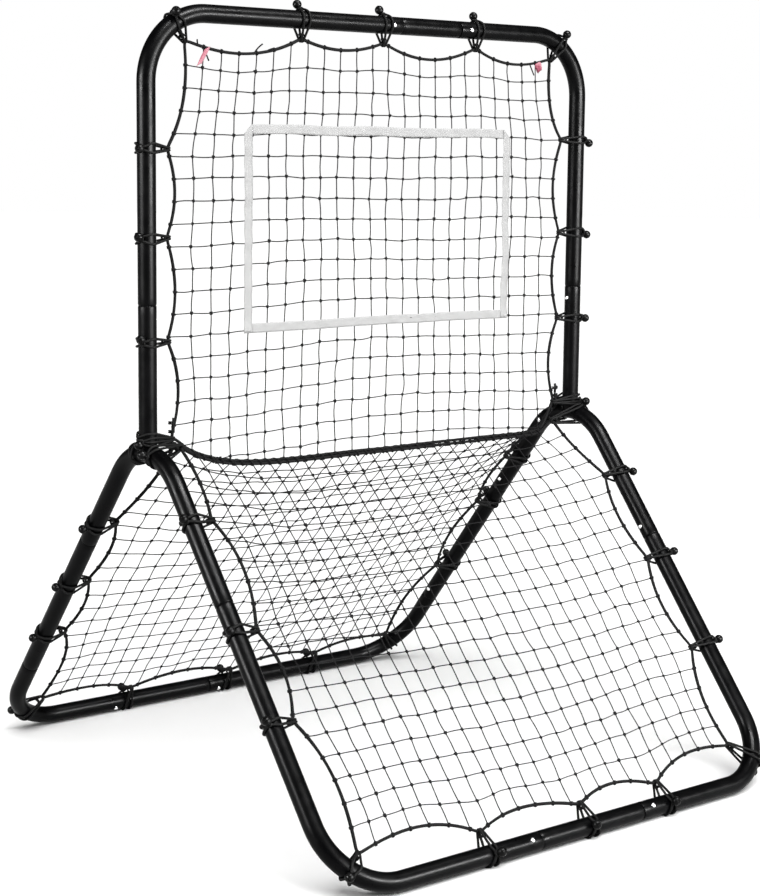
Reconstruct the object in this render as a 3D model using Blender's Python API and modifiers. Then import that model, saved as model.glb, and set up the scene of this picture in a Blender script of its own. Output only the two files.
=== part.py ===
"""Three-net pitch back rebounder: a steel tube frame with an upper, a front and a back net.

Metres, +Z up. X runs across the nets, -Y is the side the ball is pitched from, and the
frame stands on z = 0. Every tube is hollow and plugs into the next one, where a sprung
button locks it. Each net hangs in its frame on a border cord and ball bungees.
"""

import math

import bmesh
import bpy
from mathutils import Matrix, Vector

FRONT, BACK = -1, 1

# Frame
TUBE_R = 0.019  # 38 mm steel tube
WALL = 0.0015
BEND_R = 0.140  # centreline radius of every bend
HALF_WIDTH = 0.590  # x of the side tubes' centrelines
REACH = 0.660  # y of the bottom rails' centrelines
RAIL_Z = 0.0234  # height of the bottom rails' centrelines, which stand on elastic loops
LEG_RISE = 0.809  # from the bottom rails up to where the straight legs would meet
UPPER_RISE = 0.802  # from there up to the top rail
APEX_Z = RAIL_Z + LEG_RISE
TOP_Z = APEX_Z + UPPER_RISE
LEG_LENGTH = math.hypot(REACH, LEG_RISE)
LEG_ANGLE = math.atan2(REACH, LEG_RISE)  # of a leg from the vertical

SPIGOT_R = 0.0187  # the hub's upright, welded onto its bend
SPIGOT_WALL = 0.0014

# Plug joints
MALE_R = 0.0165  # swaged end that goes into the next tube
INSERT = 0.055  # length of that end
SHOULDER = 0.002  # length of its taper
SEAM = 0.0006  # visible gap at a joint
BUTTON_BACK = 0.027  # from a socket's mouth back to its button
PAST = 0.002  # how far a bore's cutter runs past a tube's end

# Snap buttons
BUTTON_R = 0.0047
BUTTON_HOLE_R = 0.0050
BUTTON_TOP = 0.0224  # from the tube's axis
BUTTON_FOOT_R = 0.0062
BUTTON_FOOT = (0.0112, 0.0126)  # from the tube's axis
HOLE_SPAN = (0.009, 0.024)  # of a hole's cutter, from the tube's axis

# Where the joints' buttons are: along a leg from where the straight legs would meet,
# above that point on an upright, and x on a rail
UPRIGHT_BUTTON = 0.191
FRONT_LEG_BUTTON = 0.415
BACK_LEG_BUTTONS = (0.360, 0.791)
TOP_RAIL_BUTTONS = (0.0225, 0.243)
FRONT_RAIL_BUTTONS = (-0.134, 0.203)
BACK_RAIL_BUTTONS = (-0.295, 0.004)
HUB_RIVET = 0.143  # along the back leg

# Nets and cords
CORD_R = 0.003
ELASTIC_R = 0.0025
LOOP_R = 0.0225  # centreline of an elastic loop round a tube
EYE_R = 0.0061  # and round the border cord
TIE_REACH = 0.047  # from a tube's axis to the border cord at a tie
TIE_FLAT = 0.006  # half the straight length of cord inside an elastic loop
BALL_R = 0.0115
BALL_OUT = 0.0314  # from the tube's axis to the ball's centre
SAG = 0.108  # scallop depth over span
NET_INSET = 0.012  # from the border cord to the panel
NET_THICKNESS = 0.0025
WAIST_Z = RAIL_Z + 0.685  # height of the middle of the line where the three nets meet
WAIST_LIFT = 0.068  # how far its ends rise
WAIST_BEND = {-1: 6, 1: 30}  # the higher, the nearer to its end it rises
HUB_TIE_Z = APEX_Z - 0.056
HUB_REACH = 0.055  # from an upright's axis to the border cord at the hub
LEG_CORD_SIDE = 0.0068  # the leg nets' cords run this far to either side of the upper net's
LEG_CORD_DROP = 0.0058  # and this far below it
LEG_NET_CORNER = (0.522, 0.012, 0.008)  # x, y and drop of a leg net's upper corner
LEG_NET_DROP = 0.016  # of a leg net's upper edge, and its distance to the side
CORD_CLEAR = 0.012  # left free at a leg cord's upper corners

# Where the ball bungees are, as for the buttons
TOP_TIES = (-0.212, 0.007, 0.270)
TOP_CORNER_ANGLE = math.radians(31)  # from the top rail's end of the bend
TOP_CORNER_BALL_TURN = math.radians(45)
TOP_REACH = 0.039
UPRIGHT_TIES = {-1: (0.531, 0.354, 0.144), 1: (0.5635, 0.3466, 0.144)}
UPRIGHT_BALL_TURN = {-1: math.radians(35), 1: math.radians(-20)}
BOTTOM_CORNER_ANGLE = math.radians(45)
# By end and side
CORNER_REACH = {(FRONT, -1): 0.039, (FRONT, 1): 0.060, (BACK, -1): 0.047, (BACK, 1): 0.047}
CORNER_BALL_TURN = {(FRONT, -1): -40, (FRONT, 1): 40, (BACK, -1): -30, (BACK, 1): -30}  # degrees
FRONT_RAIL_TIES = (-0.232, 0.036, 0.256)
BACK_RAIL_TIES = (-0.262, 0.027, 0.294)
FRONT_LEG_TIES = {-1: (0.258, 0.505, 0.700), 1: (0.272, 0.495, 0.724)}
BACK_LEG_TIES = {-1: (0.338, 0.531, 0.708), 1: (0.272, 0.437, 0.684)}

# Strike zone
TAPE_CENTRE = (0.008, RAIL_Z + 1.1775)
TAPE_SIZE = (0.715, 0.411)  # between the middles of its bands
TAPE_WIDTH = 0.020
TAPE_THICKNESS = 0.0008
TAPE_CHAMFER = 0.012

SIDES = {-1: "left", 1: "right"}
UP = Vector((0, 0, 1))
ACROSS = Vector((1, 0, 0))

for old in list(bpy.data.objects):
    bpy.data.objects.remove(old)
scene = bpy.context.scene
PARTS = bpy.data.collections.new("pitch_back_rebounder")
CUTTERS = bpy.data.collections.new("cutters")
scene.collection.children.link(PARTS)
scene.collection.children.link(CUTTERS)


def material(name, colour, roughness, metallic=0.0):
    made = bpy.data.materials.new(name)
    made.use_nodes = True
    shader = made.node_tree.nodes["Principled BSDF"]
    shader.inputs["Base Color"].default_value = (*colour, 1)
    shader.inputs["Roughness"].default_value = roughness
    shader.inputs["Metallic"].default_value = metallic
    made.diffuse_color = (*colour, 1)
    return made


POWDER_COAT = material("black_powder_coat", (0.012, 0.012, 0.014), 0.32)
BRIGHT_STEEL = material("bright_steel", (0.75, 0.75, 0.76), 0.22, 1.0)
NET_TWINE = material("black_net_twine", (0.03, 0.03, 0.03), 0.85)
CORD_BLACK = material("black_border_cord", (0.01, 0.01, 0.01), 0.8)
ELASTIC_BLACK = material("black_elastic", (0.01, 0.01, 0.01), 0.7)
TAPE_GREY = material("pale_grey_tape", (0.62, 0.62, 0.61), 0.75)


# Tubes


def rounded(corners, radius, step=math.radians(15)):
    """The points of a path through corners, with each inner corner an arc of this radius."""
    path = [corners[0]]
    for before, corner, after in zip(corners, corners[1:], corners[2:]):
        back, ahead = (before - corner).normalized(), (after - corner).normalized()
        turn = math.pi - back.angle(ahead)
        middle = corner + (back + ahead).normalized() * radius / math.cos(turn / 2)
        start = corner + back * radius * math.tan(turn / 2) - middle
        axis = back.cross(start).normalized()
        count = round(turn / step)
        path += [middle + Matrix.Rotation(turn * i / count, 3, axis) @ start for i in range(count + 1)]
    return path + [corners[-1]]


def with_plug(path, radii, shrink):
    """Adds a swaged end to the last point of path, where the tube's own radius is radii[-1]."""
    end, along = path[-1], (path[-1] - path[-2]).normalized()
    reduced = radii[-1] - shrink
    stops = (-SEAM - SHOULDER, -SEAM, INSERT)
    path = path[:-1] + [end + along * stop for stop in stops]
    return path, radii[:-1] + [radii[-1], reduced, reduced]


def sweep(name, path, radii, sides=12, cyclic=False):
    """A closed round mesh along path, as a mesh object at the world's origin."""
    curve = bpy.data.curves.new(name, "CURVE")
    curve.dimensions = "3D"
    curve.bevel_depth = 1.0
    curve.bevel_resolution = sides // 2 - 2
    curve.use_fill_caps = not cyclic
    spline = curve.splines.new("POLY")
    spline.points.add(len(path) - 1)
    spline.use_cyclic_u = cyclic
    for point, place, radius in zip(spline.points, path, radii):
        point.co = (*place, 1)
        point.radius = radius
    guide = bpy.data.objects.new(name + "_guide", curve)
    scene.collection.objects.link(guide)
    bpy.context.view_layer.update()
    mesh = bpy.data.meshes.new_from_object(guide.evaluated_get(bpy.context.evaluated_depsgraph_get()))
    bpy.data.objects.remove(guide)
    work = bmesh.new()
    work.from_mesh(mesh)
    bmesh.ops.remove_doubles(work, verts=work.verts, dist=0.00001)
    bmesh.ops.recalc_face_normals(work, faces=work.faces)
    work.to_mesh(mesh)
    work.free()
    return bpy.data.objects.new(name, mesh)


def add_part(obj, finish):
    obj.data.materials.clear()
    obj.data.materials.append(finish)
    PARTS.objects.link(obj)
    return obj


def boolean(target, other, operation):
    """Adds a Boolean by another object, which is kept as a hidden helper."""
    if other.name not in CUTTERS.objects:
        CUTTERS.objects.link(other)
        other.hide_render = True
        other.display_type = "WIRE"
    modifier = target.modifiers.new(operation.lower(), "BOOLEAN")
    modifier.operation = operation
    modifier.solver = "EXACT"
    modifier.object = other


def tube(name, corners, plug_first=False, plug_last=False, branch=None):
    """A hollow tube along corners, with a swaged plug at either end, or a second tube that joins it."""
    skins = {}
    for skin, radius in (("outer", TUBE_R), ("bore", TUBE_R - WALL)):
        path = rounded(corners, BEND_R)
        radii = [radius] * len(path)
        if plug_last:
            path, radii = with_plug(path, radii, TUBE_R - MALE_R)
        if plug_first:
            path, radii = with_plug(path[::-1], radii[::-1], TUBE_R - MALE_R)
            path, radii = path[::-1], radii[::-1]
        if skin == "bore":
            path[0] = path[0] + (path[0] - path[1]).normalized() * PAST
            path[-1] = path[-1] + (path[-1] - path[-2]).normalized() * PAST
        skins[skin] = sweep(name if skin == "outer" else name + "_bore", path, radii)
    made = add_part(skins["outer"], POWDER_COAT)
    if branch:
        start, end = branch
        boolean(made, sweep(name + "_branch", [start, end], [SPIGOT_R] * 2), "UNION")
    boolean(made, skins["bore"], "DIFFERENCE")
    if branch:
        past = (end - start).normalized() * PAST
        bore = [SPIGOT_R - SPIGOT_WALL] * 2
        boolean(made, sweep(name + "_branch_bore", [start, end + past], bore), "DIFFERENCE")
    return made


def on_leg(side, front, distance):
    """A point of a leg's straight centreline, this far from where the legs would meet."""
    return Vector((
        side * HALF_WIDTH,
        front * distance * math.sin(LEG_ANGLE),
        APEX_Z - distance * math.cos(LEG_ANGLE),
    ))


def net_side(front):
    """The direction from a bottom rail up its net."""
    return Vector((0, -front * math.sin(LEG_ANGLE), math.cos(LEG_ANGLE)))


def plane_normal(front):
    """The direction square to a leg frame, outwards and up."""
    return Vector((0, front * math.cos(LEG_ANGLE), math.sin(LEG_ANGLE)))


def rail_point(front, x):
    return Vector((x, front * REACH, RAIL_Z))


def top_point(x):
    return Vector((x, 0, TOP_Z))


def upright_point(side, above):
    return Vector((side * HALF_WIDTH, 0, APEX_Z + above))


UPRIGHT_SEAM = UPRIGHT_BUTTON + BUTTON_BACK
FRONT_LEG_SEAM = FRONT_LEG_BUTTON + BUTTON_BACK
BACK_LEG_SEAMS = tuple(button + BUTTON_BACK for button in BACK_LEG_BUTTONS)
# How far the hub's bend is below the meeting point
BEND_DROP = BEND_R * (1 / math.cos(math.pi / 2 - LEG_ANGLE) - 1)


def rail_seams(buttons):
    """The mouths of the two corner tubes, which hold the buttons of a rail."""
    return buttons[0] + BUTTON_BACK, buttons[1] - BUTTON_BACK


tubes = {}
for side, word in SIDES.items():
    legs = [on_leg(side, FRONT, FRONT_LEG_SEAM), upright_point(side, 0)]
    legs.append(on_leg(side, BACK, BACK_LEG_SEAMS[0]))
    spigot = (upright_point(side, -BEND_DROP), upright_point(side, UPRIGHT_SEAM))
    tubes["hub_" + word] = tube("hub_" + word, legs, branch=spigot)

    end = (side + 1) // 2
    corner = upright_point(side, UPPER_RISE)
    ends = [upright_point(side, UPRIGHT_SEAM), corner, top_point(rail_seams(TOP_RAIL_BUTTONS)[end])]
    name = "upper_corner_tube_" + word
    tubes[name] = tube(name, ends, plug_first=True)

    ends = [on_leg(side, FRONT, FRONT_LEG_SEAM), on_leg(side, FRONT, LEG_LENGTH)]
    ends.append(rail_point(FRONT, rail_seams(FRONT_RAIL_BUTTONS)[end]))
    name = "front_corner_tube_" + word
    tubes[name] = tube(name, ends, plug_first=True)

    ends = [on_leg(side, BACK, seam) for seam in BACK_LEG_SEAMS]
    name = "back_leg_tube_" + word
    tubes[name] = tube(name, ends, plug_first=True)

    ends = [on_leg(side, BACK, BACK_LEG_SEAMS[1]), on_leg(side, BACK, LEG_LENGTH)]
    ends.append(rail_point(BACK, rail_seams(BACK_RAIL_BUTTONS)[end]))
    name = "back_corner_tube_" + word
    tubes[name] = tube(name, ends, plug_first=True)

for name, place, buttons in (
    ("top_rail_centre_tube", top_point, TOP_RAIL_BUTTONS),
    ("front_rail_centre_tube", lambda x: rail_point(FRONT, x), FRONT_RAIL_BUTTONS),
    ("back_rail_centre_tube", lambda x: rail_point(BACK, x), BACK_RAIL_BUTTONS),
):
    tubes[name] = tube(name, [place(x) for x in rail_seams(buttons)], plug_first=True, plug_last=True)


# Snap buttons and rivets


def turned(name, profile, steps=12):
    """A solid of revolution about Z from (radius, height) points that start and end on the axis."""
    mesh = bpy.data.meshes.new(name)
    work = bmesh.new()
    points = [work.verts.new((radius, 0, height)) for radius, height in profile]
    edges = [work.edges.new(pair) for pair in zip(points, points[1:])]
    geometry = points + edges
    bmesh.ops.spin(work, geom=geometry, axis=(0, 0, 1), cent=(0, 0, 0), angle=2 * math.pi, steps=steps)
    bmesh.ops.remove_doubles(work, verts=work.verts, dist=0.00001)
    bmesh.ops.recalc_face_normals(work, faces=work.faces)
    work.to_mesh(mesh)
    work.free()
    return bpy.data.objects.new(name, mesh)


def facing(obj, place, outwards):
    """Puts obj at place with its Z axis along outwards."""
    turn = Vector(outwards).to_track_quat("Z", "Y").to_matrix().to_4x4()
    obj.matrix_world = Matrix.Translation(place) @ turn


def hole(name, place, outwards, radius, *walls):
    low, high = HOLE_SPAN
    cutter = turned(name, [(0, low), (radius, low), (radius, high), (0, high)])
    facing(cutter, place, outwards)
    for wall in walls:
        boolean(tubes[wall], cutter, "DIFFERENCE")


def snap_button(name, place, outwards, socket, plug):
    """A domed pin that stands out through both tubes' walls, on a foot inside the inner one."""
    foot, foot_top = BUTTON_FOOT
    profile = [
        (0, foot),
        (BUTTON_FOOT_R, foot),
        (BUTTON_FOOT_R, foot_top),
        (BUTTON_R, foot_top),
        (BUTTON_R, BUTTON_TOP - 0.0025),
        (BUTTON_R * 0.72, BUTTON_TOP - 0.0007),
        (0, BUTTON_TOP),
    ]
    facing(add_part(turned(name, profile), BRIGHT_STEEL), place, outwards)
    hole(name + "_hole", place, outwards, BUTTON_HOLE_R, socket, plug)


def rivet(name, place, outwards, wall):
    """A rivet through one wall, with a domed head outside and a spread tail inside."""
    shank, head, tail, lift = 0.0032, 0.0056, 0.0046, 0.0194
    profile = [
        (0, 0.0148),
        (tail, 0.0148),
        (tail, 0.0158),
        (shank, 0.0158),
        (shank, lift),
        (head, lift),
        (head, lift + 0.0008),
        (head * 0.65, lift + 0.0024),
        (0, lift + 0.0030),
    ]
    facing(add_part(turned(name, profile), BRIGHT_STEEL), place, outwards)
    hole(name + "_hole", place, outwards, shank + 0.0003, wall)


for side, word in SIDES.items():
    inwards = -side * ACROSS
    end = (side + 1) // 2
    hub, upper = "hub_" + word, "upper_corner_tube_" + word
    front_corner, back_corner = "front_corner_tube_" + word, "back_corner_tube_" + word
    back_leg = "back_leg_tube_" + word
    for name, place, outwards, socket, plug in (
        ("upright", upright_point(side, UPRIGHT_BUTTON), inwards, hub, upper),
        ("front_leg", on_leg(side, FRONT, FRONT_LEG_BUTTON), inwards, hub, front_corner),
        ("back_leg_upper", on_leg(side, BACK, BACK_LEG_BUTTONS[0]), inwards, hub, back_leg),
        ("back_leg_lower", on_leg(side, BACK, BACK_LEG_BUTTONS[1]), inwards, back_leg, back_corner),
        ("top_rail", top_point(TOP_RAIL_BUTTONS[end]), (0, -1, 0), upper, "top_rail_centre_tube"),
        (
            "front_rail",
            rail_point(FRONT, FRONT_RAIL_BUTTONS[end]),
            plane_normal(FRONT),
            front_corner,
            "front_rail_centre_tube",
        ),
        (
            "back_rail",
            rail_point(BACK, BACK_RAIL_BUTTONS[end]),
            -plane_normal(BACK),
            back_corner,
            "back_rail_centre_tube",
        ),
    ):
        snap_button(f"snap_button_{name}_{word}", place, outwards, socket, plug)

    # The bend's centreline leaves the straight leg's, so the rivet's place is on the bend.
    bend_middle = upright_point(side, -BEND_DROP - BEND_R)
    towards = (on_leg(side, BACK, HUB_RIVET) - bend_middle).normalized()
    rivet("hub_rivet_" + word, bend_middle + towards * BEND_R, inwards, hub)


# Ball bungees


def bungee(name, place, along, towards, ball_turn=0.0, reach=TIE_REACH):
    """An elastic loop round the tube at place and the border cord, with its ball outside the tube.

    along is the tube's direction and towards the net's. The ball is turned from the far side
    of the tube about along.
    """
    along, towards = Vector(along).normalized(), Vector(towards).normalized()
    square = along.cross(towards)
    spread = math.acos((LOOP_R - EYE_R) / reach)

    def at(angle, radius, middle):
        return middle + (towards * math.cos(angle) + square * math.sin(angle)) * radius

    around, eye = 9, 4
    path = [
        at(spread + (2 * math.pi - 2 * spread) * i / (around - 1), LOOP_R, place) for i in range(around)
    ]
    cord = place + towards * reach
    path += [at(-spread + 2 * spread * i / (eye - 1), EYE_R, cord) for i in range(eye)]
    made = add_part(sweep(name, path, [ELASTIC_R] * len(path), sides=6, cyclic=True), ELASTIC_BLACK)

    ball = bpy.data.meshes.new(name + "_ball")
    work = bmesh.new()
    bmesh.ops.create_uvsphere(work, u_segments=6, v_segments=5, radius=BALL_R)
    work.to_mesh(ball)
    work.free()
    ball = bpy.data.objects.new(name + "_ball", ball)
    ball.location = at(math.pi + ball_turn, BALL_OUT, place)
    boolean(made, ball, "UNION")
    return made


def bend_point(side, angle):
    """On a bottom or top corner's bend in its own plane: across, and back from the rail's centreline."""
    across = HALF_WIDTH - BEND_R * (1 - math.sin(angle))
    return side * across, BEND_R * (1 - math.cos(angle))


def frame_point(front, across, back_from_rail):
    """A point of a leg frame's plane."""
    return rail_point(front, across) + net_side(front) * back_from_rail


floor_loops = []
for side, word in SIDES.items():
    across, down = bend_point(side, TOP_CORNER_ANGLE)
    inward = Vector((-side * math.sin(TOP_CORNER_ANGLE), 0, -math.cos(TOP_CORNER_ANGLE)))
    place, along = Vector((across, 0, TOP_Z - down)), inward.cross((0, 1, 0))
    bungee("ball_bungee_top_corner_" + word, place, along, inward, TOP_CORNER_BALL_TURN, TOP_REACH)
    for number, above in enumerate(UPRIGHT_TIES[side], 1):
        name = f"ball_bungee_upright_{word}_{number}"
        bungee(name, upright_point(side, above), UP, -side * ACROSS, UPRIGHT_BALL_TURN[side])
    hub_place = Vector((side * HALF_WIDTH, 0, HUB_TIE_Z))
    bungee("ball_bungee_hub_" + word, hub_place, UP, -side * ACROSS, side * math.radians(-25), HUB_REACH)
    for front, where in ((FRONT, "front"), (BACK, "back")):
        across, back = bend_point(side, BOTTOM_CORNER_ANGLE)
        sine, cosine = math.sin(BOTTOM_CORNER_ANGLE), math.cos(BOTTOM_CORNER_ANGLE)
        inward = net_side(front) * cosine - side * ACROSS * sine
        name = f"ball_bungee_{where}_corner_{word}"
        place, along = frame_point(front, across, back), inward.cross(plane_normal(front))
        turn = math.radians(CORNER_BALL_TURN[front, side])
        bungee(name, place, along, inward, turn, CORNER_REACH[front, side])
for number, x in enumerate(TOP_TIES, 1):
    bungee(f"ball_bungee_top_{number}", top_point(x), ACROSS, -UP, math.radians(-15), TOP_REACH)
for front, where, ties, turn in (
    (FRONT, "front", FRONT_RAIL_TIES, math.radians(-90)),
    (BACK, "back", BACK_RAIL_TIES, math.radians(128)),
):
    for number, x in enumerate(ties, 1):
        name = f"ball_bungee_{where}_rail_{number}"
        floor_loops.append(bungee(name, rail_point(front, x), ACROSS, net_side(front), turn))

# The frame's weight squashes the loops under the bottom rails flat on the ground.
ground = bpy.data.meshes.new("ground_cut")
work = bmesh.new()
below = Matrix.Translation((0, 0, -0.05)) @ Matrix.Diagonal((1.4, 1.6, 0.1, 1))
bmesh.ops.create_cube(work, size=1.0, matrix=below)
work.to_mesh(ground)
work.free()
ground = bpy.data.objects.new("ground_cut", ground)
for loop in floor_loops:
    boolean(loop, ground, "DIFFERENCE")


# Border cords and nets


def scallop(start, end, inwards, steps):
    """The cord's points from one tie to the next, sagging into the net."""
    depth = SAG * (end - start).length
    return [
        start.lerp(end, i / steps) + inwards * depth * 4 * (i / steps) * (1 - i / steps)
        for i in range(1, steps)
    ]


def edge(ties, flat=0.0, steps=3):
    """The points of one edge of a border, from (place, towards, along) ties."""
    points = []
    for (place, towards, along), (after, towards_after, along_after) in zip(ties, ties[1:]):
        start, end = place + along * flat, after - along_after * flat
        points += [place - along * flat, start] if flat else [place]
        points += scallop(start, end, (towards + towards_after).normalized(), steps)
    place, towards, along = ties[-1]
    return points + ([place - along * flat, place + along * flat] if flat else [place])


def waist(x, y, drop):
    """A point of the line where the three nets meet."""
    lift = WAIST_LIFT * (abs(x) / (HALF_WIDTH - HUB_REACH)) ** WAIST_BEND[1 if x > 0 else -1]
    return Vector((x, y, WAIST_Z + lift - drop))


def waist_line(end, y, drop, stops=10):
    """That line's points from x = end to x = -end, closer together where its ends rise."""
    return [waist(end * math.cos(math.pi * i / stops), y, drop) for i in range(stops + 1)]


def upper_ties(extra):
    """The upper net's ties from the left hub round the top to the right hub."""
    reach = TIE_REACH + extra
    ties = []

    def add(place, towards, along, shorter=0.0):
        ties.append((place + towards * (reach - shorter), towards, along))

    short = TIE_REACH - TOP_REACH

    hub_reach = Vector((HUB_REACH - TIE_REACH, 0, 0))
    for side in (-1, 1):
        heights = UPRIGHT_TIES[side][:: 1 if side > 0 else -1]
        across, down = bend_point(side, TOP_CORNER_ANGLE)
        inward = Vector((-side * math.sin(TOP_CORNER_ANGLE), 0, -math.cos(TOP_CORNER_ANGLE)))
        corner = (Vector((across, 0, TOP_Z - down)), inward, inward.cross((0, 1, 0)), short)
        hub = (Vector((side * HALF_WIDTH, 0, HUB_TIE_Z)) - side * hub_reach, -side * ACROSS, -side * UP)
        uprights = [(upright_point(side, above), -side * ACROSS, -side * UP) for above in heights]
        for tie in ([hub] + uprights + [corner]) if side < 0 else ([corner] + uprights + [hub]):
            add(*tie)
        if side < 0:
            for x in TOP_TIES:
                add(top_point(x), -UP, ACROSS, short)
    return ties


def leg_ties(front, extra):
    """A leg net's ties, from its upper left corner down, along the rail and up to the right one."""
    reach = TIE_REACH + extra
    leg_table = FRONT_LEG_TIES if front == FRONT else BACK_LEG_TIES
    up = net_side(front)
    ties = []
    for side in (-1, 1):
        across, back = bend_point(side, BOTTOM_CORNER_ANGLE)
        inward = up * math.cos(BOTTOM_CORNER_ANGLE) - side * ACROSS * math.sin(BOTTOM_CORNER_ANGLE)
        lengthwise = ACROSS * math.cos(BOTTOM_CORNER_ANGLE) + side * up * math.sin(BOTTOM_CORNER_ANGLE)
        place = frame_point(front, across, back) + inward * (CORNER_REACH[front, side] + extra)
        corner = (place, inward, lengthwise)
        beside = -side * ACROSS
        legs = [(on_leg(side, front, d) + beside * reach, beside, side * up) for d in leg_table[side]]
        corner_x, corner_y, corner_drop = LEG_NET_CORNER
        top = waist(side * (corner_x - extra), front * corner_y, corner_drop + extra / 2)
        top = (top, -side * ACROSS, side * up)
        if side < 0:
            ties += [top] + legs + [corner]
            ties += [
                (rail_point(front, x) + up * reach, up, ACROSS)
                for x in (FRONT_RAIL_TIES if front == FRONT else BACK_RAIL_TIES)
            ]
        else:
            ties += [corner] + legs[::-1] + [top]
    return ties


def border(name, ties, y, drop):
    """A border cord: round its ties, then back along the line where the nets meet."""
    path = edge(ties, TIE_FLAT)
    path += waist_line(ties[-1][0].x - CORD_CLEAR, y, drop)
    return add_part(sweep(name, path, [CORD_R] * len(path), sides=6, cyclic=True), CORD_BLACK)


def along_path(points, share):
    """The point at this share of a path's length."""
    lengths = [0.0]
    for a, b in zip(points, points[1:]):
        lengths.append(lengths[-1] + (b - a).length)
    wanted = share * lengths[-1]
    for a, b, before, after in zip(points, points[1:], lengths, lengths[1:]):
        if wanted <= after:
            return a.lerp(b, (wanted - before) / max(after - before, 1e-9))
    return points[-1]


def net(name, ties, y, drop, columns=12, rows=10):
    """A thin panel spanned between four edges, for the knotted net."""
    corners = [i for i, tie in enumerate(ties) if abs(tie[1].z) > 0.1 and abs(tie[1].x) > 0.1]
    left_count, right_start = corners[0] + 1, corners[-1]
    left = edge(ties[:left_count])
    far = edge(ties[left_count - 1 : right_start + 1])
    right = edge(ties[right_start:])[::-1]
    near = [left[0]] + waist_line(ties[0][0].x * 0.94, y, drop) + [right[0]]
    mesh = bpy.data.meshes.new(name)
    work = bmesh.new()
    bmesh.ops.create_grid(work, x_segments=columns, y_segments=rows, size=1.0)
    for vert in work.verts:
        u, v = (vert.co.x + 1) / 2, (vert.co.y + 1) / 2
        across = along_path(near, u).lerp(along_path(far, u), v)
        lengthwise = along_path(left, v).lerp(along_path(right, v), u)
        low = left[0].lerp(right[0], u)
        high = left[-1].lerp(right[-1], u)
        vert.co = across + lengthwise - low.lerp(high, v)
    work.to_mesh(mesh)
    work.free()
    made = add_part(bpy.data.objects.new(name, mesh), NET_TWINE)
    thick = made.modifiers.new("thickness", "SOLIDIFY")
    thick.thickness = NET_THICKNESS
    thick.offset = 0
    return made


border("upper_border_cord", upper_ties(0), 0, 0)
net("upper_net", upper_ties(NET_INSET), 0, -NET_INSET)
for front, where in ((FRONT, "front"), (BACK, "back")):
    border(where + "_border_cord", leg_ties(front, 0), front * LEG_CORD_SIDE, LEG_CORD_DROP)
    net(where + "_net", leg_ties(front, NET_INSET), front * LEG_NET_DROP, LEG_NET_DROP)


# Strike zone


def tape_outline(name, grow):
    """A flat rectangle with cut upper corners, this much bigger all round than the bands' middles."""
    half_x, half_z = TAPE_SIZE[0] / 2 + grow, TAPE_SIZE[1] / 2 + grow
    cut = TAPE_CHAMFER
    corners = [(-half_x, -half_z), (half_x, -half_z), (half_x, half_z - cut), (half_x - cut, half_z)]
    corners += [(cut - half_x, half_z), (-half_x, half_z - cut)]
    curve = bpy.data.curves.new(name, "CURVE")
    spline = curve.splines.new("POLY")
    spline.points.add(len(corners) - 1)
    spline.use_cyclic_u = True
    for point, (x, z) in zip(spline.points, corners):
        point.co = (x, z, 0, 1)
    return curve


tape = tape_outline("strike_zone_tape", TAPE_WIDTH / 2)
inner = tape.splines.new("POLY")
hole_half_x, hole_half_z = (size / 2 - TAPE_WIDTH / 2 for size in TAPE_SIZE)
hole_corners = [(-hole_half_x, -hole_half_z), (-hole_half_x, hole_half_z)]
hole_corners += [(hole_half_x, hole_half_z), (hole_half_x, -hole_half_z)]
inner.points.add(3)
inner.use_cyclic_u = True
for point, (x, z) in zip(inner.points, hole_corners):
    point.co = (x, z, 0, 1)
tape.dimensions = "2D"
tape.fill_mode = "BOTH"
tape.extrude = TAPE_THICKNESS / 2
tape_object = add_part(bpy.data.objects.new("strike_zone_tape", tape), TAPE_GREY)
tape_object.rotation_euler = (math.pi / 2, 0, 0)
tape_object.location = (TAPE_CENTRE[0], -NET_THICKNESS / 2 - 0.0004 - TAPE_THICKNESS / 2, TAPE_CENTRE[1])
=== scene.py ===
"""Looks of a three-net pitch back rebounder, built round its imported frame.

Metres, +Z up, in the frame's own axes: X runs across the nets and the ball is pitched from
-Y. The tubes, buttons, elastics, cords and nets are smooth and detailed pieces that stand
for the plain solids. Places come from the frame's boxes wherever it has a node for them.
"""

import math

import bmesh
import bpy
import numpy as np
from mathutils import Matrix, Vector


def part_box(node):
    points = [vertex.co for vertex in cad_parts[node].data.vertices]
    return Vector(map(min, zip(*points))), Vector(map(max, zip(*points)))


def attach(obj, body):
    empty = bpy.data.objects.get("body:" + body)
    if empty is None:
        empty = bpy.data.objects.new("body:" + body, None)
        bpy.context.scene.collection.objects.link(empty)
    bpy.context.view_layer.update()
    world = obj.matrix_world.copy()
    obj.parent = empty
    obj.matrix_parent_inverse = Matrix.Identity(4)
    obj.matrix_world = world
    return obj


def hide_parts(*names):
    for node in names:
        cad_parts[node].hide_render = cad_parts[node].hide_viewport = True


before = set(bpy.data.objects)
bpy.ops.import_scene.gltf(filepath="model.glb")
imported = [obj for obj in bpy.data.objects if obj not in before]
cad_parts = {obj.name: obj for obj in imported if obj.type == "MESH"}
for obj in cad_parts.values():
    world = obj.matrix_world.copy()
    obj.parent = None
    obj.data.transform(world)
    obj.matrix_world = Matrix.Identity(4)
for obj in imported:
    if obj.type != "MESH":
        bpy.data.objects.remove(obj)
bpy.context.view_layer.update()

X, Y, Z = np.eye(3)
LEFT, RIGHT = -1, 1
FRONT, BACK = -1, 1
SIDES = {LEFT: "left", RIGHT: "right"}
ENDS = {FRONT: "front", BACK: "back"}


def middle(node):
    """The middle of a node's box."""
    low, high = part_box(node)
    return np.array((low + high) / 2)


def unit(vector):
    vector = np.asarray(vector, float)
    return vector / np.linalg.norm(vector)


def around(count):
    """Angles spaced evenly round a circle."""
    return np.arange(count) * math.tau / count


def turned_by(angles, one, two):
    """Vectors that turn by angles from one towards two, a row each."""
    return np.cos(angles)[:, None] * one + np.sin(angles)[:, None] * two


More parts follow.
